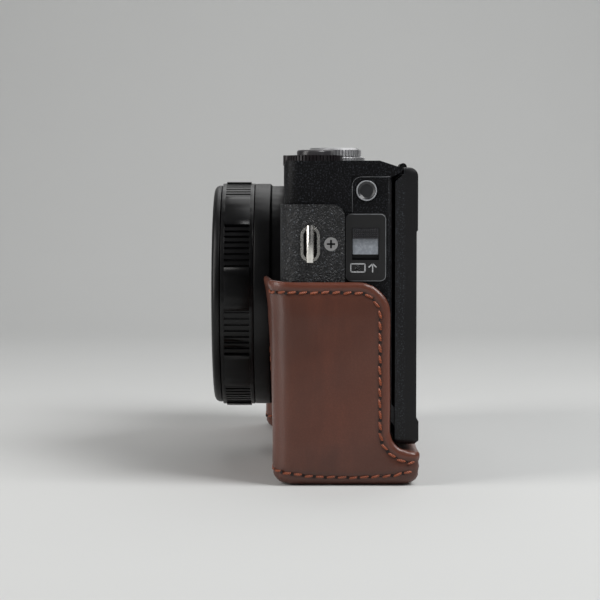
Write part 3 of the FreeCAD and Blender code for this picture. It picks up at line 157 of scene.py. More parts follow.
class Graph:
    """One material's node graph, ending in a Principled shader."""

    def __init__(self, name: str) -> None:
        """Start an empty material.

        Args:
            name: The material's name.
        """
        self.material = bpy.data.materials.new(name)
        self.material.use_nodes = True
        self.nodes = self.material.node_tree.nodes
        self.links = self.material.node_tree.links
        self.nodes.clear()
        self.output = self.nodes.new("ShaderNodeOutputMaterial")
        self.shader = self.nodes.new("ShaderNodeBsdfPrincipled")
        self.links.new(self.shader.outputs[0], self.output.inputs["Surface"])

    def node(self, kind: str, settings: dict, sockets: dict, output: str | int = 0) -> Value:
        """Add a node.

        Args:
            kind: The node's type name.
            settings: Properties set first; "stops" fills a colour ramp.
            sockets: Values or links by socket name or number.
            output: Which output to return.

        Returns:
            The chosen output.
        """
        made = self.nodes.new(kind)
        for name, value in settings.items():
            if name == "stops":
                elements = made.color_ramp.elements
                while len(elements) < len(value):
                    elements.new(0.5)
                for element, (place, colour) in zip(elements, value):
                    element.position = place
                    element.color = (*colour, 1.0)
            else:
                setattr(made, name, value)
        for name, value in sockets.items():
            self.feed(made.inputs[name], value)
        return Value(self, made.outputs[output])

    def feed(self, target: bpy.types.NodeSocket, value: object) -> None:
        """Link or set one input socket.

        Args:
            target: The input socket.
            value: A Value to link, a number, or a colour or vector.
        """
        if isinstance(value, Value):
            self.links.new(value.socket, target)
        elif isinstance(value, (tuple, list)) and target.type == "RGBA" and len(value) == 3:
            target.default_value = (*value, 1.0)
        else:
            target.default_value = value

    def place(self, stretch: Point = (1.0, 1.0, 1.0)) -> Value:
        """Millimetre coordinates that stay with the piece, stretched along each axis.

        Args:
            stretch: Factor along each axis.

        Returns:
            The stretched coordinates.
        """
        raw = self.node("ShaderNodeTexCoord", {}, {}, "Object")
        scale = tuple(part / MM for part in stretch)
        return self.node("ShaderNodeMapping", {}, {"Vector": raw, "Scale": scale})

    def axis(self, name: str) -> Value:
        """One millimetre coordinate, by its letter."""
        return self.node("ShaderNodeSeparateXYZ", {}, {"Vector": self.place()}, name)

    def noise(self, scale: float, detail: float = 3.0, rough: float = 0.55,
              place: Value | None = None) -> Value:
        """Cloudy noise from 0 to 1; scale is in cells per millimetre.

        Args:
            scale: Cells per millimetre.
            detail: Number of finer layers.
            rough: Strength of the finer layers.
            place: Coordinates, or none for plain ones.

        Returns:
            The noise.
        """
        where = place or self.place()
        sockets = {"Vector": where, "Scale": scale, "Detail": detail, "Roughness": rough}
        return self.node("ShaderNodeTexNoise", {}, sockets, "Fac")

    def cells(self, scale: float, feature: str = "F1", place: Value | None = None,
              jitter: float = 1.0) -> Value:
        """Distance in a cell pattern; scale is in cells per millimetre."""
        sockets = {"Vector": place or self.place(), "Scale": scale, "Randomness": jitter}
        return self.node("ShaderNodeTexVoronoi", {"feature": feature}, sockets, "Distance")

    def blend(self, mask: Number, low: object, high: object) -> Value:
        """Colour that goes from low to high as the mask goes from 0 to 1."""
        settings = {"data_type": "RGBA", "clamp_factor": True}
        return self.node("ShaderNodeMix", settings, {0: mask, 6: low, 7: high}, 2)

    def bump(self, height: Value, depth_mm: float, strength: float = 1.0, under: Value | None = None) -> Value:
        """Turn a height from 0 to 1 into a normal.

        Args:
            height: Height from 0 to 1.
            depth_mm: Depth of a full step in millimetres.
            strength: Share of the bump that is used.
            under: A normal to start from.

        Returns:
            The normal.
        """
        sockets = {"Height": height, "Strength": strength, "Distance": depth_mm * MM}
        if under is not None:
            sockets["Normal"] = under
        return self.node("ShaderNodeBump", {}, sockets)

    def finish(self, **sockets: object) -> bpy.types.Material:
        """Set the shader's sockets; an underscore in a name stands for a space.

        Args:
            sockets: Values or links by socket name.

        Returns:
            The finished material.
        """
        for name, value in sockets.items():
            self.feed(self.shader.inputs[name.replace("_", " ")], value)
        return self.material


# ---- finishes ------------------------------------------------------------------------------------
class Finish:
    """A surface finish that makes its material once."""

    made: dict[str, bpy.types.Material] = {}

    def material(self) -> bpy.types.Material:
        """The finish's material, built on first use.

        Returns:
            The finished material.
        """
        if self.name not in Finish.made:
            Finish.made[self.name] = self.build(Graph(self.name))
        return Finish.made[self.name]

    def build(self, graph: Graph) -> bpy.types.Material:
        """Fill the graph."""
        raise NotImplementedError


@dataclass(frozen=True)
class GrainPaint(Finish):
    """Black paint with a fine sprayed grain and painted glints."""

    name: str = "grain_paint"
    colour: Colour = from_screen(11, 11, 13)
    grain: float = 2.3
    depth: float = 0.09
    roughness: float = 0.46

    def build(self, graph: Graph) -> bpy.types.Material:
        """Fine grain with sparse pale speckles painted in as glints, and a soft cloudiness.

        Args:
            graph: The material graph to fill.

        Returns:
            The finished material.
        """
        grain = graph.noise(self.grain, 2.0, 0.6)
        cloud = graph.noise(0.09, 4.0)
        # painted highlights: pale glint speckles mixed into the base colour; they also add to the bump height
        glint_specks = graph.noise(self.grain * 1.5, 2.0, 0.5).ramp(0.50, 0.76)
        lighter = (0.040, 0.044, 0.052)
        darker = tuple(part * 0.62 for part in self.colour)
        base = graph.blend(cloud.ramp(0.3, 0.7), darker, self.colour)
        colour = graph.blend(glint_specks * 0.8, base, lighter)
        height = grain * 0.7 + glint_specks * 0.3
        return graph.finish(Base_Color=colour, Roughness=cloud * 0.14 + (self.roughness - 0.07),
                            Normal=graph.bump(height, self.depth, 0.9), Specular_IOR_Level=0.16)


@dataclass(frozen=True)
class PebbledSkin(Finish):
    """Grip skin pressed with small irregular pebbles."""

    name: str = "pebbled_skin"
    colour: Colour = from_screen(27, 29, 33)
    pebble: float = 1.55
    depth: float = 0.16

    def build(self, graph: Graph) -> bpy.types.Material:
        """Domed cells with painted shade in the valleys and a faint cool painted glint on the crowns.

        Args:
            graph: The material graph to fill.

        Returns:
            The finished material.
        """
        warp = graph.noise(0.9, 2.0)
        place = graph.node("ShaderNodeVectorMath", {"operation": "ADD"}, {0: graph.place(), 1: warp})
        edge = graph.cells(self.pebble, "DISTANCE_TO_EDGE", place)
        crown = edge.ramp(0.0, 0.34)
        fine = graph.noise(6.0, 2.0)
        cloud = graph.noise(0.12, 3.0)
        # painted light: glints lighten some crowns, and the valleys between pebbles are darkened as painted
        # shade
        glint = graph.noise(2.4, 1.0, 0.4).ramp(0.58, 0.70)
        valley_shade = tuple(part * 0.24 for part in self.colour)
        light = (0.075, 0.084, 0.096)
        colour = graph.blend(crown, valley_shade, self.colour)
        colour = graph.blend(glint * crown, colour, light)
        height = crown * 0.85 + fine * 0.15
        return graph.finish(Base_Color=colour, Roughness=0.5 - crown * 0.1 + cloud * 0.08,
                            Normal=graph.bump(height, self.depth, 1.0), Specular_IOR_Level=0.45)


@dataclass(frozen=True)
class MouldedPlastic(Finish):
    """Spark-textured moulded plastic."""

    name: str = "moulded_plastic"
    colour: Colour = from_screen(30, 30, 32)
    texture: float = 4.2
    depth: float = 0.03
    roughness: float = 0.5

    def build(self, graph: Graph) -> bpy.types.Material:
        """Even fine texture with rubbed, slightly glossier patches.

        Args:
            graph: The material graph to fill.

        Returns:
            The finished material.
        """
        grain = graph.noise(self.texture, 2.0, 0.65)
        rub = graph.noise(0.07, 4.0, 0.6).ramp(0.45, 0.75)
        lighter = tuple(part * 1.25 + 0.002 for part in self.colour)
        colour = graph.blend(grain.ramp(0.35, 0.75), self.colour, lighter)
        return graph.finish(Base_Color=colour, Roughness=self.roughness - rub * 0.12,
                            Normal=graph.bump(grain, self.depth, 0.7))


@dataclass(frozen=True)
class Anodised(Finish):
    """Black anodised metal, brushed round the lens axis."""

    name: str = "anodised"
    colour: Colour = from_screen(25, 25, 26)
    roughness: float = 0.38
    lens_height: float = 35.5
    metallic: float = 0.08

    def build(self, graph: Graph) -> bpy.types.Material:
        """Fine rings along the axis, with dust-like grey variation.

        Args:
            graph: The material graph to fill.

        Returns:
            The finished material.
        """
        rings = graph.noise(2.6, 2.0, 0.5, graph.place((0.05, 3.0, 0.05)))
        cloud = graph.noise(0.1, 4.0)
        lighter = tuple(part * 1.5 + 0.003 for part in self.colour)
        colour = graph.blend(cloud.ramp(0.35, 0.75), self.colour, lighter)
        return graph.finish(Base_Color=colour, Roughness=rings * 0.1 + cloud * 0.08 + (self.roughness - 0.08),
                            Metallic=self.metallic, Normal=graph.bump(rings, 0.01, 0.5), Specular_IOR_Level=0.3)


@dataclass(frozen=True)
class Polished(Finish):
    """Bright metal with fine scratches."""

    name: str = "polished_chrome"
    colour: Colour = (0.66, 0.65, 0.64)
    roughness: float = 0.16
    scratch: float = 0.006

    def build(self, graph: Graph) -> bpy.types.Material:
        """Crossed hairline scratches and dull patches.

        Args:
            graph: The material graph to fill.

        Returns:
            The finished material.
        """
        one = graph.noise(2.0, 3.0, 0.7, graph.place((0.3, 4.0, 0.6)))
        two = graph.noise(2.0, 3.0, 0.7, graph.place((0.3, 0.5, 4.0)))
        dull = graph.noise(0.5, 4.0).ramp(0.45, 0.8)
        darker = tuple(part * 0.62 for part in self.colour)
        colour = graph.blend(dull, self.colour, darker)
        return graph.finish(Base_Color=colour, Metallic=1.0, Roughness=dull * 0.16 + self.roughness,
                            Normal=graph.bump(one + two, self.scratch, 0.6))


@dataclass(frozen=True)
class RecessedMetal(Finish):
    """Bright end fitting whose recessed parts carry near-black painted shade."""

    name: str = "lug_metal"
    colour: Colour = (0.78, 0.76, 0.72)
    hollow_shade: Colour = (0.016, 0.016, 0.017)
    middle: float = -5.35
    step: tuple[float, float] = (54.95, 55.25)
    upright: float = 20.0
    roughness: float = 0.22
    plain_beyond: float = -200.0

    def build(self, graph: Graph) -> bpy.types.Material:
        """Distance from the body's middle tells the proud faces from the recessed ones, which are painted as
        shade.

        Args:
            graph: The material graph to fill.

        Returns:
            The finished material.
        """
        proud = abs(graph.axis("X") - self.middle).ramp(*self.step)
        proud = proud.highest(1 - graph.axis("Z").ramp(self.upright - 1.0, self.upright))
        proud = proud.highest(1 - graph.axis("X").ramp(self.plain_beyond - 1.0, self.plain_beyond))
        scratch = graph.noise(2.4, 3.0, 0.7, graph.place((0.4, 3.0, 0.7)))
        dull = graph.noise(0.9, 4.0).ramp(0.45, 0.8)
        bright = graph.blend(dull, self.colour, tuple(part * 0.7 for part in self.colour))
        # painted shade: recessed faces take a near-black colour instead of bright metal
        colour = graph.blend(proud, self.hollow_shade, bright)
        return graph.finish(Base_Color=colour, Metallic=proud * 0.5 + 0.5,
                            Roughness=dull * 0.14 + self.roughness,
                            Normal=graph.bump(scratch, 0.008, 0.6))


@dataclass(frozen=True)
class SpunAlloy(Finish):
    """Satin alloy turned on a lathe, with rings round an upright axis."""

    name: str = "spun_alloy"
    colour: Colour = (0.62, 0.62, 0.63)
    centre: tuple[float, float] = (-50.0, 1.0)
    roughness: float = 0.33

    def build(self, graph: Graph) -> bpy.types.Material:
        """Concentric rings from the distance to the axis.

        Args:
            graph: The material graph to fill.

        Returns:
            The finished material.
        """
        across = graph.axis("X") - self.centre[0]
        along = graph.axis("Y") - self.centre[1]
        radius = (across * across + along * along) ** 0.5
        wave = (radius * 26.0).math("SINE") * 0.5 + 0.5
        cloud = graph.noise(0.4, 4.0)
        darker = tuple(part * 0.78 for part in self.colour)
        colour = graph.blend(cloud, darker, self.colour)
        return graph.finish(Base_Color=colour, Metallic=1.0,
                            Roughness=wave * 0.08 + cloud * 0.1 + (self.roughness - 0.06),
                            Normal=graph.bump(wave, 0.004, 0.6))


@dataclass(frozen=True)
class SatinKey(Finish):
    """Satin moulded key, slightly glossier where fingers rub it."""

    name: str = "satin_key"
    colour: Colour = from_screen(44, 44, 46)
    roughness: float = 0.36
    depth: float = 0.012

    def build(self, graph: Graph) -> bpy.types.Material:
        """Even satin with faint rub marks.

        Args:
            graph: The material graph to fill.

        Returns:
            The finished material.
        """
        fine = graph.noise(5.0, 2.0)
        rub = graph.noise(0.6, 3.0)
        lighter = tuple(part * 1.35 for part in self.colour)
        colour = graph.blend(rub.ramp(0.4, 0.8), self.colour, lighter)
        return graph.finish(Base_Color=colour, Roughness=rub * 0.12 + (self.roughness - 0.06),
                            Normal=graph.bump(fine, self.depth, 0.6), Coat_Weight=rub * 0.25)


@dataclass(frozen=True)
class BezelPlate(Finish):
    """Smooth dark plate with a thin painted highlight, a bright line just inside its edge, stronger towards +Y.
    """

    name: str = "bezel_plate"
    colour: Colour = from_screen(25, 25, 26)
    # painted highlight: colour of the bright line along the plate's edge
    outline: Colour = from_screen(128, 131, 134)
    centre: tuple[float, float] = (5.575, 47.0)
    half: tuple[float, float] = (4.025, 6.7)
    corner: float = 1.2
    inset: float = 0.14
    width: float = 0.085

    def build(self, graph: Graph) -> bpy.types.Material:
        """Rounded-rectangle distance in depth and height drives the painted edge highlight.

        Args:
            graph: The material graph to fill.

        Returns:
            The finished material.
        """
        far_y = (abs(graph.axis("Y") - self.centre[0]) - (self.half[0] - self.corner)).highest(0.0)
        far_z = (abs(graph.axis("Z") - self.centre[1]) - (self.half[1] - self.corner)).highest(0.0)
        reach = (far_y * far_y + far_z * far_z) ** 0.5
        line = 1 - abs(reach - (self.corner - self.inset)).ramp(self.width * 0.5, self.width)
        fine = graph.noise(4.0, 2.0)
        # painted highlight: the edge line is broken up by noise and fades towards low Y
        mottle = graph.noise(0.9, 3.0).ramp(0.25, 0.7)
        lit = graph.axis("Y").ramp(1.9, 3.6) * 0.9 + 0.1
        colour = graph.blend(line * lit * (mottle * 0.45 + 0.55), self.colour, self.outline)
        return graph.finish(Base_Color=colour, Roughness=0.42 + fine * 0.08 - line * 0.12,
                            Normal=graph.bump(fine, 0.012, 0.6))


@dataclass(frozen=True)
class CoatedGlass(Finish):
    """Dark lens glass with a coloured coating."""

    name: str = "coated_glass"
    deep: Colour = (0.004, 0.005, 0.010)
    tint: Colour = (0.030, 0.012, 0.045)

    def build(self, graph: Graph) -> bpy.types.Material:
        """Coating that turns from green-violet to dark with the viewing slope.

        Args:
            graph: The material graph to fill.

        Returns:
            The finished material.
        """
        slope = graph.node("ShaderNodeLayerWeight", {}, {"Blend": 0.35}, "Facing")
        dust = graph.noise(1.2, 4.0, 0.7).ramp(0.62, 0.8)
        colour = graph.blend(slope, self.deep, self.tint)
        return graph.finish(Base_Color=colour, Roughness=dust * 0.06 + 0.03, Coat_Weight=0.8 + dust * 0.1,
                            Coat_Roughness=0.02, Specular_IOR_Level=0.8)


@dataclass(frozen=True)
class DisplayPane(Finish):
    """Glossy black display with faint finger smears."""

    name: str = "display_pane"
    colour: Colour = (0.0045, 0.0047, 0.0055)

    def build(self, graph: Graph) -> bpy.types.Material:
        """Gloss broken by smears and dust.

        Args:
            graph: The material graph to fill.

        Returns:
            The finished material.
        """
        smear = graph.noise(0.06, 5.0, 0.65, graph.place((1.0, 1.0, 2.2))).ramp(0.48, 0.78)
        dust = graph.noise(1.8, 2.0, 0.7).ramp(0.7, 0.8)
        colour = graph.blend(dust * 0.5, self.colour, (0.03, 0.03, 0.032))
        return graph.finish(Base_Color=colour, Roughness=smear * 0.16 + dust * 0.1 + 0.05, Coat_Weight=0.5,
                            Coat_Roughness=0.03)


@dataclass(frozen=True)
class TintedWindow(Finish):
    """Moulded clear window over a dark tinted ground."""

    name: str = "tinted_window"
    colour: Colour = (0.20, 0.055, 0.02)
    ribs: float = 1.6

    def build(self, graph: Graph) -> bpy.types.Material:
        """Fine vertical ribs behind a glossy face.

        Args:
            graph: The material graph to fill.

        Returns:
            The finished material.
        """
        ribs = (graph.axis("X") * (self.ribs * 2 * math.pi)).math("SINE") * 0.5 + 0.5
        colour = graph.blend(ribs, tuple(part * 0.55 for part in self.colour), self.colour)
        return graph.finish(Base_Color=colour, Roughness=ribs * 0.08 + 0.08, Coat_Weight=0.6,
                            Coat_Roughness=0.03,
                            Normal=graph.bump(ribs, 0.03, 0.5))


@dataclass(frozen=True)
class Circuit(Finish):
    """Green solder mask with track-like cells."""

    name: str = "circuit"
    colour: Colour = (0.012, 0.085, 0.035)

    def build(self, graph: Graph) -> bpy.types.Material:
        """Square cells stand for tracks under the mask.

        Args:
            graph: The material graph to fill.

        Returns:
            The finished material.
        """
        tracks = graph.cells(0.55, "DISTANCE_TO_EDGE", None, 0.35).ramp(0.03, 0.09)
        colour = graph.blend(tracks, (0.05, 0.16, 0.06), self.colour)
        return graph.finish(Base_Color=colour, Roughness=0.38 - tracks * 0.1,
                            Normal=graph.bump(tracks, 0.03, 0.6))


class Hide(Enum):
    """Sides of the case leather, by the material slot that each one uses."""

    GRAIN = 0
    LINING = 1


@dataclass(frozen=True)
class SmoothLeather(Finish):
    """Dark brown smooth leather with a tight grain and pull-up colour changes."""

    name: str = "brown_leather"
    colour: Colour = from_screen(95, 53, 39)
    grain: float = 1.7
    depth: float = 0.045

    def build(self, graph: Graph) -> bpy.types.Material:
        """Tight cell grain, pores, soft scuffs, painted shade along the pressed seams and a painted highlight
        along the turned rim.

        Args:
            graph: The material graph to fill.

        Returns:
            The finished material.
        """
        warp = graph.noise(0.35, 3.0)
        place = graph.node("ShaderNodeVectorMath", {"operation": "ADD"}, {0: graph.place(), 1: warp})
        grain = graph.cells(self.grain, "DISTANCE_TO_EDGE", place).ramp(0.0, 0.22)
        pores = graph.noise(3.2, 2.0, 0.6)
        cloud = graph.noise(0.045, 5.0, 0.6)
        fibre = graph.noise(0.16, 4.0, 0.6, graph.place((1.0, 1.0, 0.25)))
        seam = graph.node("ShaderNodeAttribute", {"attribute_name": "seam"}, {}, "Fac")
        rim = graph.node("ShaderNodeAttribute", {"attribute_name": "rim"}, {}, "Fac")
        dark = tuple(part * 0.68 for part in self.colour)
        warm = tuple(part * gain for part, gain in zip(self.colour, (1.3, 1.18, 1.15)))
        base = graph.blend(cloud.ramp(0.32, 0.68), dark, self.colour)
        base = graph.blend(fibre.ramp(0.5, 0.8) * 0.5, base, warm)
        base = graph.blend((1 - grain) * 0.28, base, dark)
        # painted highlight: a lighter, warmer band along the turned upper edge
        base = graph.blend(rim * 0.55, base, warm)
        # painted shade: darker along the pressed sewn grooves
        colour = graph.blend(seam * 0.5, base, tuple(part * 0.4 for part in self.colour))
        crease = graph.noise(0.55, 5.0, 0.7, graph.place((1.0, 1.6, 0.35)))
        height = grain * 0.45 + pores * 0.25 + fibre * 0.6 + crease * 0.8
        rough = 0.34 + (1 - grain) * 0.08 + cloud * 0.12 - rim * 0.06
        return graph.finish(Base_Color=colour, Roughness=rough, Normal=graph.bump(height, self.depth, 0.55),
                            Specular_IOR_Level=0.42, Coat_Weight=0.30, Coat_Roughness=0.24)


@dataclass(frozen=True)
class Suede(Finish):
    """Napped lining."""

    name: str = "suede_lining"
    colour: Colour = from_screen(62, 44, 36)

    def build(self, graph: Graph) -> bpy.types.Material:
        """Soft brushed nap in two sizes.

        Args:
            graph: The material graph to fill.

        Returns:
            The finished material.
        """
        nap = graph.noise(2.4, 4.0, 0.75)
        sweep = graph.noise(0.12, 3.0, 0.5, graph.place((1.0, 1.0, 0.4)))
        lighter = tuple(part * 1.6 for part in self.colour)
        colour = graph.blend(sweep.ramp(0.35, 0.7) * 0.6 + nap * 0.3, self.colour, lighter)
        return graph.finish(Base_Color=colour, Roughness=0.9, Normal=graph.bump(nap, 0.10, 0.8),
                            Sheen_Weight=0.3)


@dataclass(frozen=True)
class WaxedThread(Finish):
    """Two-ply waxed sewing thread."""

    name: str = "waxed_thread"
    colour: Colour = from_screen(164, 84, 50)

    def build(self, graph: Graph) -> bpy.types.Material:
        """Slanted plies with painted shade in the valleys between them and a waxy highlight.

        Args:
            graph: The material graph to fill.

        Returns:
            The finished material.
        """
        slant = graph.axis("X") + graph.axis("Y") * 1.3 + graph.axis("Z") * 1.1
        ply = (slant * 13.0).math("SINE") * 0.5 + 0.5
        dirt = graph.noise(0.35, 4.0)
        dark = tuple(part * 0.42 for part in self.colour)
        # painted shade: the valleys between the plies are darker; the same dark colour also stands for real
        # dirt below
        colour = graph.blend(ply.ramp(0.1, 0.6), dark, self.colour)
        colour = graph.blend(dirt.ramp(0.45, 0.75) * 0.45, colour, dark)
        return graph.finish(Base_Color=colour, Roughness=0.5 - ply * 0.12, Normal=graph.bump(ply, 0.06, 0.8))


# ---- mesh building -------------------------------------------------------------------------------
class Craft:
    """Small helpers that turn outlines and paths into pieces."""

    @staticmethod
    def piece(name: str, points: Sequence[Point], faces: Sequence[Sequence[int]], finish: Finish,
              smooth: bool = True) -> bpy.types.Object:
        """Make a mesh piece from millimetre points.

        Args:
            name: The piece's name.
            points: Vertices in millimetres.
            faces: Vertex numbers of each face.
            finish: The finish of the whole piece.
            smooth: Whether faces are shaded smooth.

        Returns:
            The new object, linked to the scene.
        """
        mesh = bpy.data.meshes.new(name)
        mesh.from_pydata([tuple(part * MM for part in point) for point in points], [], faces)
        mesh.validate()
        if smooth:
            mesh.shade_smooth()
        mesh.materials.append(finish.material())
        made = bpy.data.objects.new(name, mesh)
        bpy.context.scene.collection.objects.link(made)
        return made

    @staticmethod
    def prism(outline: Sequence[tuple[float, float]], low: float, high: float,
              lift: Callable[[float, float, float], Point]) -> tuple[list[Point], list[list[int]]]:
        """Closed prism over a flat outline.

        Args:
            outline: Points (a, b) in order.
            low: Depth of the first cap.
            high: Depth of the second cap.
            lift: Turns (a, b, depth) into a point in the frame.

        Returns:
            Points and faces.
        """
        count = len(outline)
        points = [lift(a, b, low) for a, b in outline] + [lift(a, b, high) for a, b in outline]
        faces = [list(range(count))[::-1], [count + index for index in range(count)]]
        for index in range(count):
            after = (index + 1) % count
            faces.append([index, after, count + after, count + index])
        return points, faces

    @staticmethod
    def join(parts: Iterable[tuple[list[Point], list[list[int]]]]) -> tuple[list[Point], list[list[int]]]:
        """Gather several (points, faces) pairs into one.

        Args:
            parts: The (points, faces) pairs.

        Returns:
            One pair with renumbered faces.
        """
        points: list[Point] = []
        faces: list[list[int]] = []
        for some_points, some_faces in parts:
            start = len(points)
            points.extend(some_points)
            faces.extend([[start + index for index in face] for face in some_faces])
        return points, faces

    @staticmethod
    def bar(start: tuple[float, float], end: tuple[float, float], width: float) -> list[tuple[float, float]]:
        """Outline of a straight stroke with rounded ends.

        Args:
            start: First end.
            end: Second end.
            width: Width of the stroke.

        Returns:
            The outline in order.
        """
        angle = math.atan2(end[1] - start[1], end[0] - start[0])
        outline = []
        for centre, turn in ((start, math.pi / 2), (end, -math.pi / 2)):
            for step in range(7):
                at = angle + turn + math.pi * step / 6
                outline.append((centre[0] + width / 2 * math.cos(at), centre[1] + width / 2 * math.sin(at)))
        return outline

    @staticmethod
    def strokes(lines: Sequence[Sequence[tuple[float, float]]], width: float, low: float, high: float,
                lift: Callable[[float, float, float], Point]) -> tuple[list[Point], list[list[int]]]:
        """Printed strokes along polylines, as thin prisms.

        Args:
            lines: Polylines of (a, b) points.
            width: Width of the strokes.
            low: Depth of the first cap.
            high: Depth of the second cap.
            lift: Turns (a, b, depth) into a point in the frame.

        Returns:
            Points and faces.
        """
        parts = []
        for line in lines:
            for start, end in zip(line, line[1:]):
                parts.append(Craft.prism(Craft.bar(start, end, width), low, high, lift))
        return Craft.join(parts)

    @staticmethod
    def circle(centre: tuple[float, float], radius: float, count: int = 24,
               start: float = 0.0, turn: float = 360.0) -> list[tuple[float, float]]:
        """Points along an arc; a full turn repeats its first point.

        Args:
            centre: Middle of the arc.
            radius: Its radius.
            count: Number of steps.
            start: First angle in degrees.
            turn: Angle passed through in degrees.

        Returns:
            The points in order.
        """
        points = []
        for index in range(count + 1):
            angle = math.radians(start + turn * index / count)
            points.append((centre[0] + radius * math.cos(angle), centre[1] + radius * math.sin(angle)))
        return points

    @staticmethod
    def soften(node: bpy.types.Object, width: float, segments: int = 2, angle: float = 32.0) -> None:
        """Round a CAD node's sharp edges with modifiers, so that they catch the light.

        Args:
            node: The CAD node's object.
            width: Bevel width in millimetres.
            segments: Bevel segments.
            angle: Smallest edge angle that is rounded, in degrees.
        """
        weld = node.modifiers.new("weld", "WELD")
        weld.merge_threshold = 0.000004
        bevel = node.modifiers.new("edges", "BEVEL")
        bevel.width = width * MM
        bevel.segments = segments
        bevel.limit_method = "ANGLE"
        bevel.angle_limit = math.radians(angle)
        bevel.harden_normals = True
        bevel.use_clamp_overlap = True

    @staticmethod
    def dress(node: bpy.types.Object, finish: Finish) -> None:
        """Give a CAD node one finish on all its faces.

        Args:
            node: The CAD node's object.
            finish: Its finish.
        """
        if not node.data.materials:
            node.data.materials.append(finish.material())
        for index in range(len(node.material_slots)):
            node.material_slots[index].link = "OBJECT"
            node.material_slots[index].material = finish.material()


# ---- studio --------------------------------------------------------------------------------------
@dataclass
class Studio:
    """Seamless backdrop, soft lights and the camera."""

    near_face: float = 50.3
    aim: tuple[float, float] = (-7.4, 36.7)
    distance: float = 397.0
    elevation: float = 3.0
    focal: float = 121.0
    wall: float = -620.0
    sweep: float = 240.0
    near_edge: float = 900.0
    wall_top: float = 1500.0
    half_width: float = 1300.0
    room: Colour = (0.86, 0.88, 0.92)
    room_strength: float = 0.075
    ground: Colour = from_screen(205, 206, 205)
    lights: tuple = (
        ("key", (190.0, -440.0, 260.0), 1.8, (260.0, 520.0), (1.0, 0.98, 0.96)),
        ("top", (190.0, 330.0, 470.0), 2.9, (300.0, 300.0), (1.0, 1.0, 1.0)),
        ("fill", (430.0, 360.0, 180.0), 0.05, (420.0, 320.0), (0.97, 0.98, 1.0)),
        ("wash", (-330.0, 60.0, 520.0), 1.0, (500.0, 500.0), (1.0, 1.0, 1.0)),
    )

    def backdrop(self) -> bpy.types.Object:
        """One continuous sheet: floor, sweep and wall.

        Returns:
            The sheet.
        """
        profile = [(self.near_edge, 0.0), (200.0, 0.0), (0.0, 0.0), (self.wall + self.sweep, 0.0)]
        for step in range(1, 13):
            angle = math.pi / 2 * step / 12
            profile.append((self.wall + self.sweep * (1 - math.sin(angle)), self.sweep * (1 - math.cos(angle))))
        profile.append((self.wall, self.wall_top))
        points = [(x, side, z) for side in (-self.half_width, self.half_width) for x, z in profile]
        count = len(profile)
        faces = [[index, index + 1, count + index + 1, count + index] for index in range(count - 1)]
        graph = Graph("studio_paper")
        fibre = graph.noise(0.02, 3.0)
        light = tuple(part * 1.02 for part in self.ground)
        colour = graph.blend(fibre, self.ground, light)
        graph.finish(Base_Color=colour, Roughness=0.92, Specular_IOR_Level=0.1)
        sheet = Craft.piece("studio_sheet", points, faces, Ready(graph.material))
        return sheet

    def lamps(self) -> None:
        """Soft boxes, each aimed at the middle of the object."""
        for name, place, power, size, colour in self.lights:
            data = bpy.data.lights.new("light_" + name, "AREA")
            data.shape = "RECTANGLE"
            data.size = size[0] * MM
            data.size_y = size[1] * MM
            data.energy = power
            data.color = colour
            lamp = bpy.data.objects.new("light_" + name, data)
            lamp.location = Vector(place) * MM
            aim = Vector((0.0, 0.0, 0.032)) - lamp.location
            lamp.rotation_euler = aim.to_track_quat("-Z", "Y").to_euler()
            bpy.context.scene.collection.objects.link(lamp)

    def world(self) -> None:
        """Even pale surroundings."""
        world = bpy.data.worlds.new("studio_room")
        world.use_nodes = True
        ground = world.node_tree.nodes["Background"]
        ground.inputs["Color"].default_value = (*self.room, 1.0)
        ground.inputs["Strength"].default_value = self.room_strength
        bpy.context.scene.world = world

    def camera(self) -> None:
        """Camera that looks square at the end wall."""
        data = bpy.data.cameras.new("view")
        data.lens = self.focal
        data.sensor_width = 36.0
        data.clip_start = 0.01
        camera = bpy.data.objects.new("view", data)
        target = Vector((self.near_face, *self.aim)) * MM
        tilt = math.radians(self.elevation)
        camera.location = target + Vector((math.cos(tilt), 0.0, math.sin(tilt))) * self.distance * MM
        camera.rotation_euler = (target - camera.location).to_track_quat("-Z", "Y").to_euler()
        bpy.context.scene.collection.objects.link(camera)
        bpy.context.scene.camera = camera

    def build(self) -> None:
        """Set the whole studio."""
        self.backdrop()
        self.lamps()
        self.world()
        self.camera()
        bpy.context.scene.view_settings.view_transform = "Standard"
        LOG.info("studio: %d lights", len(self.lights))


@dataclass(frozen=True)
class Ready(Finish):
    """A material that is already built."""

    ready: bpy.types.Material

    @property
    def name(self) -> str:
        """The material's own name."""
        return self.ready.name

    def material(self) -> bpy.types.Material:
        """The material as given."""
        return self.ready


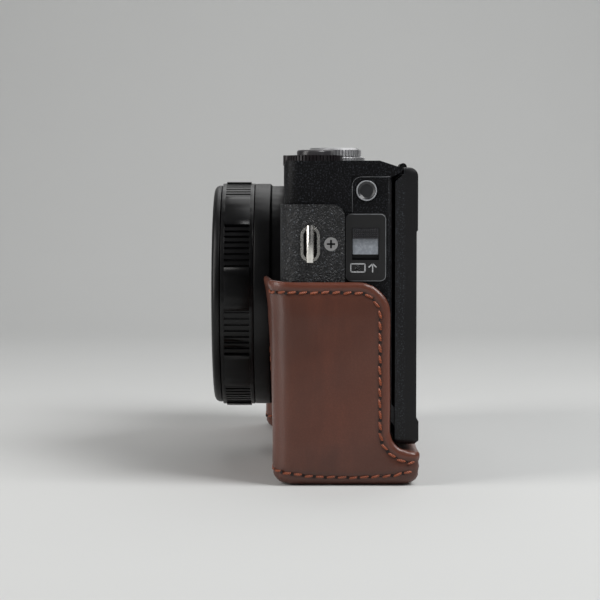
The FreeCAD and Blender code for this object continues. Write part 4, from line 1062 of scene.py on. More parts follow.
# ---- camera body ---------------------------------------------------------------------------------
@dataclass
class BodyCovers:
    """Painted covers, grip skin, end wall fittings and everything fixed inside the body."""

    end_wall: float = 49.6
    plate_face: float = 49.72
    key_at: tuple[float, float] = (5.7, 58.2)
    ink: float = 0.03
    edge: float = 0.14

    paint: Finish = GrainPaint()
    skin: Finish = PebbledSkin()
    plastic: Finish = MouldedPlastic("cover_plastic", from_screen(27, 27, 29))
    inner: Finish = MouldedPlastic("inner_plastic", from_screen(40, 40, 42), 1.6, 0.02, 0.55)
    steel: Finish = Polished("screw_steel", (0.42, 0.41, 0.42), 0.24, 0.01)
    pressed: Finish = Polished("pressed_metal", (0.46, 0.46, 0.45), 0.34, 0.012)
    brass: Finish = Polished("brass_insert", (0.62, 0.45, 0.17), 0.28, 0.01)
    print: Finish = SatinKey("pale_print", from_screen(176, 178, 180), 0.5, 0.01)

    def finishes(self) -> dict[str, Finish]:
        """Finish of each CAD node of the body.

        Returns:
            Finishes by node name.
        """
        wrap = MouldedPlastic("cell_wrap", from_screen(62, 63, 66), 1.2, 0.01, 0.42)
        chip = MouldedPlastic("chip_case", from_screen(34, 34, 36), 3.0, 0.012, 0.5)
        return {
            "front_cover": self.paint, "top_cover": self.paint, "rear_cover": self.paint,
            "bottom_plate": self.paint, "side_panel": self.skin, "grip_pads": self.skin,
            "finder_bezel": BezelPlate(), "strap_lugs": RecessedMetal(),
            # screw heads: near-black painted shade in the cross slot and recesses
            "body_screws": RecessedMetal("screw_head", (0.74, 0.73, 0.73), (0.012, 0.012, 0.013), -5.35,
                                         (55.3, 55.5), 20.0, 0.3, -55.0),
            "assist_lamp": TintedWindow("lamp_window", (0.05, 0.012, 0.007), 0.9),
            "chassis": self.pressed, "tripod_nut": self.brass, "main_board": Circuit(),
            "board_chips": chip, "image_sensor": CoatedGlass("sensor_glass", (0.01, 0.012, 0.02),
                                                             (0.03, 0.05, 0.03)),
            "sensor_plate": self.pressed, "battery_holder": self.inner, "battery": wrap, "memory_card": wrap,
            "flash_capacitor": wrap, "zoom_motor": self.pressed, "port_sockets": self.steel,
            "dial_spindle": self.steel, "hinge_pins": Polished("hinge_steel", (0.10, 0.10, 0.10), 0.3,
                                                               0.01), "battery_door": self.plastic,
            "port_door": self.plastic,
        }

    def pictogram(self) -> bpy.types.Object:
        """Printed sign under the switch: an eyepiece frame with an arrow.

        Returns:
            The new piece.
        """
        lines = [
            [(2.6, 42.2), (5.4, 42.2), (5.4, 43.8), (2.6, 43.8), (2.6, 42.2)],
            Craft.circle((4.0, 43.0), 0.38, 14),
            [(6.9, 42.2), (6.9, 43.8)],
            [(6.2, 43.15), (6.9, 43.85), (7.6, 43.15)],
        ]
        points, faces = Craft.strokes(lines, 0.24, self.plate_face, self.plate_face + self.ink,
                                      lambda a, b, depth: (depth, a, b))
        made = Craft.piece("finder_sign", points, faces, self.print, smooth=False)
        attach(made, "camera_body")
        return made

    def release_rim(self) -> bpy.types.Object:
        """Pale grey rim in the dished face of the round button, a painted highlight.

        Returns:
            The new piece.
        """
        points: list[Point] = []
        faces: list[list[int]] = []
        around = 48
        section = [(1.72, 0.26), (1.79, 0.37), (1.88, 0.41), (1.98, 0.40), (2.03, 0.34)]
        for index in range(around):
            angle = 2 * math.pi * index / around
            for radius, proud in section:
                points.append((self.end_wall + proud, self.key_at[0] + radius * math.cos(angle),
                               self.key_at[1] + radius * math.sin(angle)))
        width = len(section)
        for index in range(around):
            after = (index + 1) % around
            for step in range(width - 1):
                a, b = index * width + step, after * width + step
                faces.append([a, b, b + 1, a + 1])
        # painted highlight: the rim's pale grey stands for the light it catches
        made = Craft.piece("release_rim", points, faces,
                           SatinKey("painted_rim_highlight", from_screen(146, 148, 152), 0.3, 0.012))
        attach(made, "flash_key")
        return made

    def key_outline(self) -> bpy.types.Object:
        """Fine painted highlight along the cover edge beside the round button, up its near side and along the
        top seam.

        Returns:
            The new piece.
        """
        corner, near, top = 1.8, 2.9, 60.9
        outline = [(near, 54.0)] + Craft.circle((near + corner, top - corner), corner, 8, 180,
                                                -90) + [(10.4, top)]
        points, faces = Craft.strokes([outline], 0.13, self.end_wall - 0.02, self.end_wall + 0.035,
                                      lambda a, b, depth: (depth, a, b))
        # painted highlight: a pale grey stroke stands for light on the cover edge
        made = Craft.piece("key_outline", points, faces,
                           SatinKey("painted_edge_highlight", from_screen(74, 76, 79), 0.4, 0.01))
        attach(made, "camera_body")
        return made

    def build(self, nodes: dict[str, bpy.types.Object]) -> None:
        """Dress the nodes and add the small printed and moulded details.

        Args:
            nodes: The CAD nodes by name.
        """
        for name, finish in self.finishes().items():
            Craft.dress(nodes[name], finish)
        for name in ("front_cover", "top_cover", "rear_cover", "bottom_plate"):
            Craft.soften(nodes[name], self.edge)
        for name in ("side_panel", "grip_pads", "battery_door", "port_door"):
            Craft.soften(nodes[name], 0.18)
        for name in ("strap_lugs", "body_screws"):
            Craft.soften(nodes[name], 0.12, 3)
        pieces = [self.pictogram(), self.release_rim(), self.key_outline()]
        LOG.info("body covers: %d nodes, %s", len(self.finishes()), [piece.name for piece in pieces])


# ---- lens ----------------------------------------------------------------------------------------
@dataclass
class LensUnit:
    """Mount, control ring, telescoping barrels, cover blades and glass."""

    height: float = 35.5
    front: float = -25.4
    rim_groove: float = 14.0

    black: Finish = Anodised("lens_black", from_screen(12, 12, 13), 0.36)
    ring: Finish = Anodised("ring_black", from_screen(13, 13, 14), 0.30)
    satin: Finish = Anodised("barrel_black", from_screen(20, 20, 21), 0.3)
    blade: Finish = Anodised("blade_black", from_screen(16, 16, 17), 0.42)

    def finishes(self) -> dict[str, Finish]:
        """Finish of each CAD node of the lens.

        Returns:
            Finishes by node name.
        """
        glass = CoatedGlass()
        inner = MouldedPlastic("housing_plastic", from_screen(24, 24, 25), 1.8, 0.02, 0.6)
        return {
            "lens_mount": self.black, "lens_lip": self.black, "control_ring": self.ring, "lens_housing": inner,
            "barrel_outer": self.satin, "barrel_inner": self.satin, "barrier_upper": self.blade,
            "barrier_lower": self.blade, "front_element": glass, "rear_element": glass,
        }

    def front_rings(self) -> bpy.types.Object:
        """Raised fine rings on the front face of the inner barrel.

        Returns:
            The new piece.
        """
        parts = []
        for radius in (10.4, 11.6, 12.8, self.rim_groove, 15.2, 16.4):
            outer = Craft.circle((0.0, self.height), radius + 0.18, 72)[:-1]
            inner = Craft.circle((0.0, self.height), radius - 0.18, 72)[:-1]
            points = [(a, self.front - 0.10, b) for a, b in outer] + [(a, self.front - 0.10, b) for a,
                                                                      b in inner]
            points += [(a * 1.01, self.front + 0.02, self.height + (b - self.height) * 1.01) for a, b in outer]
            faces = []
            for index in range(72):
                after = (index + 1) % 72
                faces.append([index, after, 72 + after, 72 + index])
                faces.append([144 + index, 144 + after, after, index])
            parts.append((points, faces))
        points, faces = Craft.join(parts)
        made = Craft.piece("front_rings", points, faces, self.satin)
        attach(made, "second_barrel")
        return made

    def index_mark(self) -> bpy.types.Object:
        """Small index dot on the fixed barrel above the ring.

        Returns:
            The new piece.
        """
        outline = Craft.circle((0.0, -15.4), 0.45, 20)[:-1]
        points, faces = Craft.prism(outline, self.height + 24.22, self.height + 24.34,
                                    lambda a, b, depth: (a, b, depth))
        made = Craft.piece("index_dot", points, faces, SatinKey("mark_white", from_screen(190, 190, 188), 0.45))
        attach(made, "camera_body")
        return made

    def build(self, nodes: dict[str, bpy.types.Object]) -> None:
        """Dress the nodes and add the fine rings.

        Args:
            nodes: The CAD nodes by name.
        """
        for name, finish in self.finishes().items():
            Craft.dress(nodes[name], finish)
        Craft.soften(nodes["control_ring"], 0.16, 2, 28.0)
        Craft.soften(nodes["lens_mount"], 0.2, 3)
        Craft.soften(nodes["lens_lip"], 0.25, 3, 20.0)
        Craft.soften(nodes["barrel_outer"], 0.25, 2)
        Craft.soften(nodes["barrel_inner"], 0.25, 2)
        pieces = [self.front_rings(), self.index_mark()]
        LOG.info("lens: %d nodes, %s", len(self.finishes()), [piece.name for piece in pieces])


# ---- controls ------------------------------------------------------------------------------------
@dataclass
class TopDials:
    """Shutter button, zoom lever, both dials, power button, flash and viewfinder."""

    dial_at: tuple[float, float] = (-50.0, 1.0)
    mode_top: float = 68.8
    exposure_top: float = 66.5
    power_at: tuple[float, float] = (-20.5, 2.5)
    cover_top: float = 64.1

    key: Finish = SatinKey()
    dark: Finish = Anodised("dial_black", from_screen(30, 26, 28), 0.36)
    spun: Finish = SpunAlloy()
    paint: Finish = GrainPaint()
    white: Finish = SatinKey("mark_white", from_screen(190, 190, 188), 0.45)

    def finishes(self) -> dict[str, Finish]:
        """Finish of each CAD node on the top.

        Returns:
            Finishes by node name.
        """
        glass = CoatedGlass("finder_glass", (0.006, 0.008, 0.012), (0.02, 0.03, 0.05))
        return {
            "shutter_button": SatinKey("button_satin", from_screen(58, 56, 58), 0.3), "zoom_lever": self.dark,
            "exposure_dial": self.spun, "mode_dial": self.spun, "power_button": self.key,
            "flash_head": self.paint,
            "flash_window": TintedWindow("flash_tube", (0.42, 0.40, 0.36), 0.8), "finder_housing": self.paint,
            "finder_lenses": glass,
            "finder_eyepiece": MouldedPlastic("eyepiece_plastic", from_screen(26, 26, 27), 3.0, 0.02, 0.55),
        }

    def dial_marks(self) -> bpy.types.Object:
        """Ticks on the rim of the lower dial, longer at every third step.

        Returns:
            The new piece.
        """
        lines = []
        for index in range(-9, 10):
            angle = math.radians(90 + index * 10)
            inner = 6.85 if index % 3 else 6.7
            lines.append([(self.dial_at[0] + r * math.cos(angle), self.dial_at[1] + r * math.sin(angle))
                          for r in (inner, 7.1)])
        points, faces = Craft.strokes(lines, 0.14, self.exposure_top, self.exposure_top + 0.02,
                                      lambda a, b, depth: (a, b, depth))
        made = Craft.piece("exposure_ticks", points, faces, self.white, smooth=False)
        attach(made, "exposure_wheel")
        return made

    def mode_signs(self) -> bpy.types.Object:
        """Generic dots, bars and frames round the upper dial, dark on the spun top.

        Returns:
            The new piece.
        """
        signs: list[tuple[list[tuple[float, float]], ...]] = [
            ([(-0.45, 0.0), (0.45, 0.0)],), ([(0.0, -0.45), (0.0, 0.45)],), (Craft.circle((0, 0), 0.42, 12),),
            ([(-0.45, -0.35), (0.45, -0.35), (0.45, 0.35), (-0.45, 0.35), (-0.45, -0.35)],),
            ([(-0.45, -0.35), (0.0, 0.4), (0.45, -0.35), (-0.45, -0.35)],),
            ([(-0.4, -0.4), (0.4, 0.4)], [(-0.4, 0.4), (0.4, -0.4)]),
            ([(-0.45, -0.25), (0.45, -0.25)], [(-0.45, 0.25), (0.45, 0.25)]),
            (Craft.circle((0, 0), 0.2, 10), Craft.circle((0, 0), 0.5, 12)),
        ]
        lines = []
        for index, sign in enumerate(signs):
            angle = 2 * math.pi * index / len(signs)
            centre = (self.dial_at[0] + 4.6 * math.cos(angle), self.dial_at[1] + 4.6 * math.sin(angle))
            turn = angle - math.pi / 2
            for stroke in sign:
                lines.append([(centre[0] + a * math.cos(turn) - b * math.sin(turn),
                               centre[1] + a * math.sin(turn) + b * math.cos(turn)) for a, b in stroke])
        points, faces = Craft.strokes(lines, 0.16, self.mode_top, self.mode_top + 0.02,
                                      lambda a, b, depth: (a, b, depth))
        made = Craft.piece("mode_signs", points, faces, SatinKey("sign_black", from_screen(28, 28, 28), 0.5),
                           smooth=False)
        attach(made, "mode_wheel")
        return made

    def cover_signs(self) -> bpy.types.Object:
        """Power sign beside its button and the index line beside the dials.

        Returns:
            The new piece.
        """
        x, y = self.power_at
        lines = [Craft.circle((x, y - 4.6), 0.55, 14, 120, 300), [(x, y - 4.5), (x, y - 3.8)],
                 [(self.dial_at[0] + 8.4, self.dial_at[1]), (self.dial_at[0] + 9.6, self.dial_at[1])]]
        points, faces = Craft.strokes(lines, 0.17, self.cover_top, self.cover_top + 0.02,
                                      lambda a, b, depth: (a, b, depth))
        made = Craft.piece("cover_signs", points, faces, self.white, smooth=False)
        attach(made, "camera_body")
        return made

    def build(self, nodes: dict[str, bpy.types.Object]) -> None:
        """Dress the nodes and add the printed marks.

        Args:
            nodes: The CAD nodes by name.
        """
        for name, finish in self.finishes().items():
            Craft.dress(nodes[name], finish)
        for name, width in (("shutter_button", 0.12), ("zoom_lever", 0.12), ("exposure_dial", 0.1),
                            ("mode_dial", 0.1), ("power_button", 0.2), ("flash_head", 0.15),
                            ("finder_housing", 0.15)):
            Craft.soften(nodes[name], width)
        pieces = [self.dial_marks(), self.mode_signs(), self.cover_signs()]
        LOG.info("top controls: %d nodes, %s", len(self.finishes()), [piece.name for piece in pieces])


@dataclass
class EndKeys:
    """Sprung viewfinder switch and round button on the end wall."""

    seat: float = 48.2
    ramp_colour: Colour = from_screen(138, 143, 150)
    grip_colour: Colour = from_screen(44, 44, 47)

    def switch_finish(self) -> Finish:
        """Dark ribbed grip with painted highlights on the rib crests, above a lighter mottled ramp, split by
        height, and painted shade on the parts inside the body.

        Returns:
            The two-tone finish.
        """
        graph = Graph("switch_two_tone")
        height = graph.axis("Z")
        grip = height.ramp(self.seat + 0.35, self.seat + 0.65)
        mottle = graph.noise(1.6, 4.0, 0.7).ramp(0.4, 0.75)
        ramp = graph.blend(mottle * 0.7, self.ramp_colour, tuple(part * 1.7 for part in self.ramp_colour))
        # painted highlight: the crests of the grip's ribs are lighter in colour
        mesh = (graph.axis("Y") * 17.0).math("SINE") * (graph.axis("Z") * 17.0).math("SINE")
        crest_highlight = mesh.ramp(0.1, 0.7)
        dark = graph.blend(crest_highlight * 0.4, self.grip_colour, tuple(part * 2.2 for part in self.grip_colour))
        colour = graph.blend(grip, ramp, dark)
        # painted shade: near black on the parts of the switch deeper than X 48.4, inside the slot
        colour = graph.blend(graph.axis("X").ramp(48.4, 48.5), (0.004, 0.004, 0.004), colour)
        fine = graph.noise(4.5, 2.0)
        graph.finish(Base_Color=colour, Roughness=0.34 + mottle * 0.14, Normal=graph.bump(fine, 0.015, 0.6))
        return Ready(graph.material)

    def key_finish(self) -> Finish:
        """Dark key with a lighter rubbed face."""
        return SatinKey("round_key", from_screen(38, 39, 41), 0.36, 0.02)

    def build(self, nodes: dict[str, bpy.types.Object]) -> None:
        """Dress both keys.

        Args:
            nodes: The CAD nodes by name.
        """
        Craft.dress(nodes["finder_switch"], self.switch_finish())
        Craft.dress(nodes["flash_release"], self.key_finish())
        Craft.soften(nodes["finder_switch"], 0.07)
        Craft.soften(nodes["flash_release"], 0.1, 3)
        LOG.info("end keys: 2 nodes")


@dataclass
class RearPanel:
    """Rear dial, buttons, tilting screen and its bracket."""

    dial_at: tuple[float, float] = (-45.5, 26.0)
    dial_face: float = 11.5
    button_face: float = 11.3
    screen_back: float = 15.65
    screen_x: tuple[float, float] = (-27.0, 45.6)
    screen_z: tuple[float, float] = (13.5, 60.2)

    key: Finish = SatinKey("rear_key", from_screen(40, 40, 42), 0.38)
    white: Finish = SatinKey("mark_white", from_screen(190, 190, 188), 0.45)

    def finishes(self) -> dict[str, Finish]:
        """Finish of each CAD node at the rear.

        Returns:
            Finishes by node name.
        """
        metal = Polished("bracket_metal", (0.055, 0.055, 0.058), 0.36, 0.01)
        pins = Polished("hinge_steel", (0.10, 0.10, 0.10), 0.3, 0.01)
        return {
            "rear_dial": Anodised("dial_black", from_screen(30, 26, 28), 0.36), "set_button": self.key,
            "record_button": self.key, "play_button": self.key, "menu_button": self.key,
            "screen_bracket": metal, "tilt_pins": pins, "screen_frame": self.shell_finish(),
            "screen_glass": DisplayPane(),
        }

    def shell_finish(self) -> Finish:
        """Moulded black, with painted glint speckles on the part next to the body and smooth behind.

        Returns:
            The shell finish.
        """
        graph = Graph("screen_shell")
        # painted highlights: pale glint speckles, only on the front part of the shell
        glint_specks = graph.noise(3.4, 2.0, 0.5).ramp(0.50, 0.76) * (1 - graph.axis("Y").ramp(13.0, 13.6))
        grain = graph.noise(3.6, 2.0, 0.65)
        base = graph.blend(grain.ramp(0.35, 0.75), from_screen(20, 20, 22), from_screen(26, 26, 28))
        colour = graph.blend(glint_specks, base, (0.050, 0.056, 0.066))
        graph.finish(Base_Color=colour, Roughness=0.44 - glint_specks * 0.1, Normal=graph.bump(grain, 0.03, 0.7),
                     Specular_IOR_Level=0.35)
        return Ready(graph.material)

    def mark(self, name: str, lines: list, face: float, body: str, width: float = 0.2) -> bpy.types.Object:
        """Printed strokes on a rear face; each line holds (across, up) points seen from behind.

        Args:
            name: The piece's name.
            lines: Polylines of (across, up) points.
            face: Depth of the printed face.
            body: The moving body that it rides on.
            width: Width of the strokes.

        Returns:
            The new piece.
        """
        points, faces = Craft.strokes(lines, width, face, face + 0.02, lambda a, b, depth: (a, depth, b))
        made = Craft.piece(name, points, faces, self.white, smooth=False)
        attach(made, body)
        return made

    def marks(self) -> list[bpy.types.Object]:
        """Generic signs: a triangle, a ring, bars, and a caret, two ticks and a dot round the dial.

        Returns:
            The four printed pieces.
        """
        x, z = self.dial_at
        play = [[(-37.1, 37.7), (-38.3, 38.5), (-37.1, 39.3), (-37.1, 37.7)]]
        record = [Craft.circle((-54.5, 38.0), 0.55, 18)]
        menu = [[(-46.8, 11.8 + step), (-45.2, 11.8 + step)] for step in (-0.6, 0.0, 0.6)]
        ring = [[(x, z + 6.4), (x - 0.6, z + 5.7)], [(x, z + 6.4), (x + 0.6, z + 5.7)],
                [(x - 6.6, z), (x - 5.6, z)],
                [(x + 5.6, z), (x + 6.6, z)], Craft.circle((x, z - 6.1), 0.5, 14)]
        return [
            self.mark("play_sign", play, self.button_face, "play_key"),
            self.mark("record_sign", record, self.button_face, "record_key"),
            self.mark("menu_sign", menu, self.button_face, "menu_key"),
            self.mark("ring_signs", ring, self.dial_face, "thumb_wheel"),
        ]

    def screen_margin(self) -> bpy.types.Object:
        """Slim dark border of the display under its pane's edge.

        Returns:
            The new piece.
        """
        inset = 2.2
        x, z = self.screen_x, self.screen_z
        lines = [[(x[0] + inset, z[0] + inset), (x[1] - inset, z[0] + inset), (x[1] - inset, z[1] - inset),
                  (x[0] + inset, z[1] - inset), (x[0] + inset, z[0] + inset)]]
        points, faces = Craft.strokes(lines, 0.3, self.screen_back, self.screen_back + 0.01,
                                      lambda a, b, depth: (a, depth, b))
        made = Craft.piece("screen_margin", points, faces,
                           SatinKey("margin_grey", from_screen(34, 35, 38), 0.3))
        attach(made, "screen_slab")
        return made

    def build(self, nodes: dict[str, bpy.types.Object]) -> None:
        """Dress the nodes and add the signs.

        Args:
            nodes: The CAD nodes by name.
        """
        for name, finish in self.finishes().items():
            Craft.dress(nodes[name], finish)
        Craft.soften(nodes["screen_frame"], 0.22, 3)
        Craft.soften(nodes["rear_dial"], 0.12)
        for name in ("set_button", "record_button", "play_button", "menu_button"):
            Craft.soften(nodes[name], 0.18, 3)
        Craft.soften(nodes["screen_bracket"], 0.08)
        pieces = self.marks() + [self.screen_margin()]
        LOG.info("rear panel: %d nodes, %s", len(self.finishes()), [piece.name for piece in pieces])


# ---- half case -----------------------------------------------------------------------------------
@dataclass
class SeamPath:
    """A sewn line: guide points snapped to the leather and evened out."""

    points: list[Vector]
    normals: list[Vector]

    @staticmethod
    def snap(guide: Sequence[Point], skin: BVHTree, step: float = 0.3) -> "SeamPath":
        """Lay a guide on the leather.

        Args:
            guide: Millimetre points near the outer face.
            skin: Search tree of the leather, in metres.
            step: Spacing of the snapped points in millimetres.

        Returns:
            The snapped path in millimetres.
        """
        dense: list[Vector] = []
        for start, end in zip(guide, guide[1:]):
            run = Vector(end) - Vector(start)
            count = max(1, int(run.length / step))
            dense.extend(Vector(start) + run * (index / count) for index in range(count))
        dense.append(Vector(guide[-1]))
        points, normals = [], []
        for place in dense:
            spot, normal, _, _ = skin.find_nearest(place * MM)
            points.append(spot / MM)
            normals.append(normal)
        for _ in range(4):
            inner = [(a + b * 2 + c) / 4 for a, b, c in zip(points, points[1:], points[2:])]
            points = [points[0], *inner, points[-1]]
            turned = [(a + b + c).normalized() for a, b, c in zip(normals, normals[1:], normals[2:])]
            normals = [normals[0], *turned, normals[-1]]
        return SeamPath(points, normals)

    def length(self) -> float:
        """Length along the path in millimetres."""
        return sum((b - a).length for a, b in zip(self.points, self.points[1:]))

    def spots(self, pitch: float) -> list[tuple[Vector, Vector, Vector]]:
        """Evenly spaced places along the path.

        Args:
            pitch: Wanted spacing in millimetres.

        Returns:
            Place, direction and outward normal of each.
        """
        count = max(2, round(self.length() / pitch))
        gap = self.length() / count
        found = []
        run = 0.0
        target = gap / 2
        for index in range(len(self.points) - 1):
            a, b = self.points[index], self.points[index + 1]
            span = (b - a).length
            while span > 1e-9 and target <= run + span and len(found) < count:
                share = (target - run) / span
                normal = self.normals[index].lerp(self.normals[index + 1], share).normalized()
                along = (b - a).normalized()
                found.append((a.lerp(b, share), (along - normal * along.dot(normal)).normalized(), normal))
                target += gap
            run += span
        return found


@dataclass
class HalfCase:
    """Moulded leather half case with turned edges and two sewn lines."""

    left: float = 51.9
    right: float = -62.6
    front: float = -12.9
    rear: float = 15.3
    corner: float = 4.2
    rear_corner: float = 2.0
    top: float = 40.3
    side_rear: float = 10.4
    top_curve: float = 6.5
    foot_curve: float = 4.2
    lip_top: float = 6.8
    hump: tuple[float, float, float] = (-59.6, -44.4, -15.8)
    lens_height: float = 35.5
    lens_cut: float = 27.5
    inset: float = 2.1
    pitch: float = 2.2
    thread: float = 0.25
    stitch: float = 1.92
    voxel: float = 0.5
    flare: float = 0.85
    bow: float = 1.35
    bow_fade: float = 0.85
    bow_reach: tuple[float, float] = (27.0, 47.0)
    dome: float = 0.55
    toe: float = 0.9
    groove: float = 0.62
    groove_depth: float = 0.2
    puff: float = 0.10
    ripple: float = 0.07
    tip_rise: float = 0.42
    hole: tuple[float, float] = (0.40, 0.36)
    slant: float = 10.0
    slant_spread: float = 3.0
    sway: float = 0.07

    leather: Finish = SmoothLeather()
    lining: Finish = Suede()
    thread_finish: Finish = WaxedThread()
    # painted shade: the dark colour of the needle holes
    hole_finish: Finish = MouldedPlastic("needle_hole", from_screen(30, 17, 14), 2.0, 0.02, 0.8)

    def corner_arc(self, end: int) -> list[tuple[float, float]]:
        """Front corner of the plan, from the end wall to the front wall.

        Args:
            end: 1 for the +X end, -1 for the other.

        Returns:
            Plan points (x, y).
        """
        side = self.left if end > 0 else self.right
        centre = (side - end * self.corner, self.front + self.corner)
        points = []
        for step in range(9):
            angle = math.radians(90 * step / 8)
            points.append((centre[0] + end * self.corner * math.cos(angle),
                           centre[1] - self.corner * math.sin(angle)))
        return points

    def front_line(self, low: float, high: float) -> list[tuple[float, float]]:
        """Plan of the front wall from a high x to a low x, out round the grip hump.

        Args:
            low: Lowest x.
            high: Highest x.

        Returns:
            Plan points (x, y).
        """
        start, end, peak = self.hump
        line = [(high, self.front)]
        if low < end < high:
            line += [(end, self.front), (end - 0.6, self.front - 1.2), (end - 1.6, peak + 0.4),
                     (end - 3.0, peak),
                     (start + 3.0, peak), (start + 1.6, peak + 0.4), (start + 0.6, self.front - 1.2),
                     (max(start, low), self.front)]
        line.append((low, self.front))
        return line

    def upper_guide(self, end: int) -> list[Point]:
        """Upper sewn line of one end: lens cut-out, front, corner, end wall and down to the rear lip.

        Args:
            end: 1 for the +X end, -1 for the other.

        Returns:
            Guide points near the leather.
        """
        side = self.left if end > 0 else self.right
        z = self.top - self.inset
        radius = self.lens_cut + self.inset
        reach = self.lens_height - z
        start_x = math.sqrt(radius ** 2 - reach ** 2) if reach > 0 else radius
        path: list[Point] = []
        low_angle = math.degrees(math.atan2(abs(reach), start_x))
        for step in range(25):
            angle = math.radians(-90 + (90 - low_angle if reach > 0 else 90) * step / 24)
            path.append((end * radius * math.cos(angle), self.front,
                         self.lens_height + radius * math.sin(angle)))
        path.append((end * start_x, self.front, z))
        across = self.left - self.corner if end > 0 else self.right + self.corner
        if end > 0:
            path.append((across, self.front, z))
        else:
            path += [(x, y, z) for x, y in self.front_line(across, -start_x)]
        path += [(x, y, z) for x, y in reversed(self.corner_arc(end))]
        bend = self.top_curve - self.inset
        shoulder = (self.side_rear - self.top_curve, self.top - self.top_curve)
        for step in range(9):
            angle = math.radians(90 - 90 * step / 8)
            path.append((side, shoulder[0] + bend * math.cos(angle), shoulder[1] + bend * math.sin(angle)))
        heel = (self.side_rear + self.foot_curve, self.lip_top + self.foot_curve)
        sweep = self.foot_curve + self.inset
        for step in range(9):
            angle = math.radians(180 + 90 * step / 8)
            y = heel[0] + sweep * math.cos(angle)
            if y < self.rear - self.rear_corner * 0.6:
                path.append((side, y, heel[1] + sweep * math.sin(angle)))
        z = self.lip_top - self.inset
        for step in range(5):
            angle = math.radians(90 * step / 4)
            path.append((side - end * self.rear_corner * (1 - math.cos(angle)),
                         self.rear - self.rear_corner * (1 - math.sin(angle)), z))
        path.append(((self.left + self.right) / 2, self.rear, z))
        return path

    def low_height(self, y: float) -> float:
        """Height of the lower sewn line at a depth, a little higher at both ends."""
        return 1.45 + 0.0078 * (y - 2.0) ** 2

    def lower_guide(self, end: int) -> list[Point]:
        """Lower sewn line of one end, from the middle of the front to the middle of the rear.

        Args:
            end: 1 for the +X end, -1 for the other.

        Returns:
            Guide points near the leather.
        """
        side = self.left if end > 0 else self.right
        middle = (self.left + self.right) / 2
        z = self.low_height(self.front)
        path: list[Point] = []
        across = self.left - self.corner if end > 0 else self.right + self.corner
        if end > 0:
            path += [(middle, self.front, z), (across, self.front, z)]
        else:
            path += [(x, y, z) for x, y in self.front_line(across, middle)]
        path += [(x, y, self.low_height(y)) for x, y in reversed(self.corner_arc(end))]
        y = self.front + self.corner
        while y < self.rear - self.rear_corner:
            path.append((side, y, self.low_height(y)))
            y += 1.0
        for step in range(5):
            angle = math.radians(90 * step / 4)
            path.append((side - end * self.rear_corner * (1 - math.cos(angle)),
                         self.rear - self.rear_corner * (1 - math.sin(angle)), self.low_height(self.rear)))
        path.append((middle, self.rear, self.low_height(self.rear)))
        return path

    def shell(self, source: bpy.types.Object) -> bpy.types.Object:
        """Even skin made from the case's solid, with soft turned edges.

        Args:
            source: The CAD node whose shape is followed.

        Returns:
            The leather piece before it is sewn.
        """
        mesh = source.data.copy()
        work = bmesh.new()
        work.from_mesh(mesh)
        bmesh.ops.remove_doubles(work, verts=work.verts, dist=0.000002)
        work.to_mesh(mesh)
        work.free()
        piece = bpy.data.objects.new("leather_case", mesh)
        bpy.context.scene.collection.objects.link(piece)
        remesh = piece.modifiers.new("even", "REMESH")
        remesh.mode = "VOXEL"
        remesh.voxel_size = self.voxel * MM
        smooth = piece.modifiers.new("soft", "SMOOTH")
        smooth.factor = 0.5
        smooth.iterations = 4
        ready = bpy.data.meshes.new_from_object(piece.evaluated_get(bpy.context.evaluated_depsgraph_get()))
        piece.modifiers.clear()
        piece.data = ready
        ready.name = "leather_case"
        return piece

    def edge_distance(self, place: Vector) -> float:
        """Millimetres from the turned upper edge, for a point on the outside.

        Args:
            place: A point in millimetres.

        Returns:
            The distance.
        """
        if place.y > self.rear - 3.0:
            return abs(self.lip_top - place.z)
        heights = self.top - place.z
        if place.y < self.front + 4.5 and abs(place.x) < self.lens_cut + 12:
            round_cut = math.hypot(place.x, place.z - self.lens_height) - self.lens_cut
            if place.z < self.lens_height:
                heights = min(heights, max(round_cut, 0.0))
            elif abs(place.x) < self.lens_cut + 4:
                heights = min(heights, abs(place.x) - self.lens_cut)
        shoulder = (self.side_rear - self.top_curve, self.top - self.top_curve)
        if place.y > shoulder[0] and place.z > shoulder[1]:
            return self.top_curve - math.hypot(place.y - shoulder[0], place.z - shoulder[1])
        heel = (self.side_rear + self.foot_curve, self.lip_top + self.foot_curve)
        if place.z < heel[1] and place.y > self.side_rear - 4:
            return math.hypot(place.y - heel[0], place.z - heel[1]) - self.foot_curve
        return min(heights, self.side_rear - place.y)

    def shape(self, piece: bpy.types.Object, seams: Sequence[SeamPath]) -> None:
        """Press the sewn grooves, flare the front edge, and mark the seams for painted shade and the rim for a
        painted highlight in the finish.

        Args:
            piece: The leather.
            seams: The sewn lines.
        """
        mesh = piece.data
        tree = KDTree(sum(len(seam.points) for seam in seams))
        count = 0
        for seam in seams:
            for point in seam.points:
                tree.insert(point, count)
                count += 1
        tree.balance()
        seam_shade_mark = mesh.attributes.new("seam", "FLOAT", "POINT")
        rim_highlight_mark = mesh.attributes.new("rim", "FLOAT", "POINT")
        seam_shade_values = [0.0] * len(mesh.vertices)
        rim_highlight_values = [0.0] * len(mesh.vertices)
        normals = [vertex.normal.copy() for vertex in mesh.vertices]
        for index, vertex in enumerate(mesh.vertices):
            place = vertex.co / MM
            _, _, far = tree.find(place)
            press = math.exp(-(far / self.groove) ** 2)
            seam_shade_values[index] = press
            rim = self.edge_distance(place)
            rim_highlight_values[index] = max(0.0, min(1.0, (1.9 - rim) / 0.8))
            puff = self.puff * math.exp(-((rim - 1.05) / 0.6) ** 2) if press < 0.5 else 0.0
            wave = math.sin(place.x * 0.31 + place.z * 0.22) * math.sin(place.y * 0.27 - place.z * 0.19 + 1.3)
            swell = self.ripple * wave
            lean = Vector((0.0, 0.0, 0.0))
            if place.y < self.front + 6.0 and place.z > self.top - 7.0:
                lift = ((place.z - (self.top - 7.0)) / 7.0) ** 2
                near = self.ease(self.front + 6.0 - place.y, 0.0, 6.0)
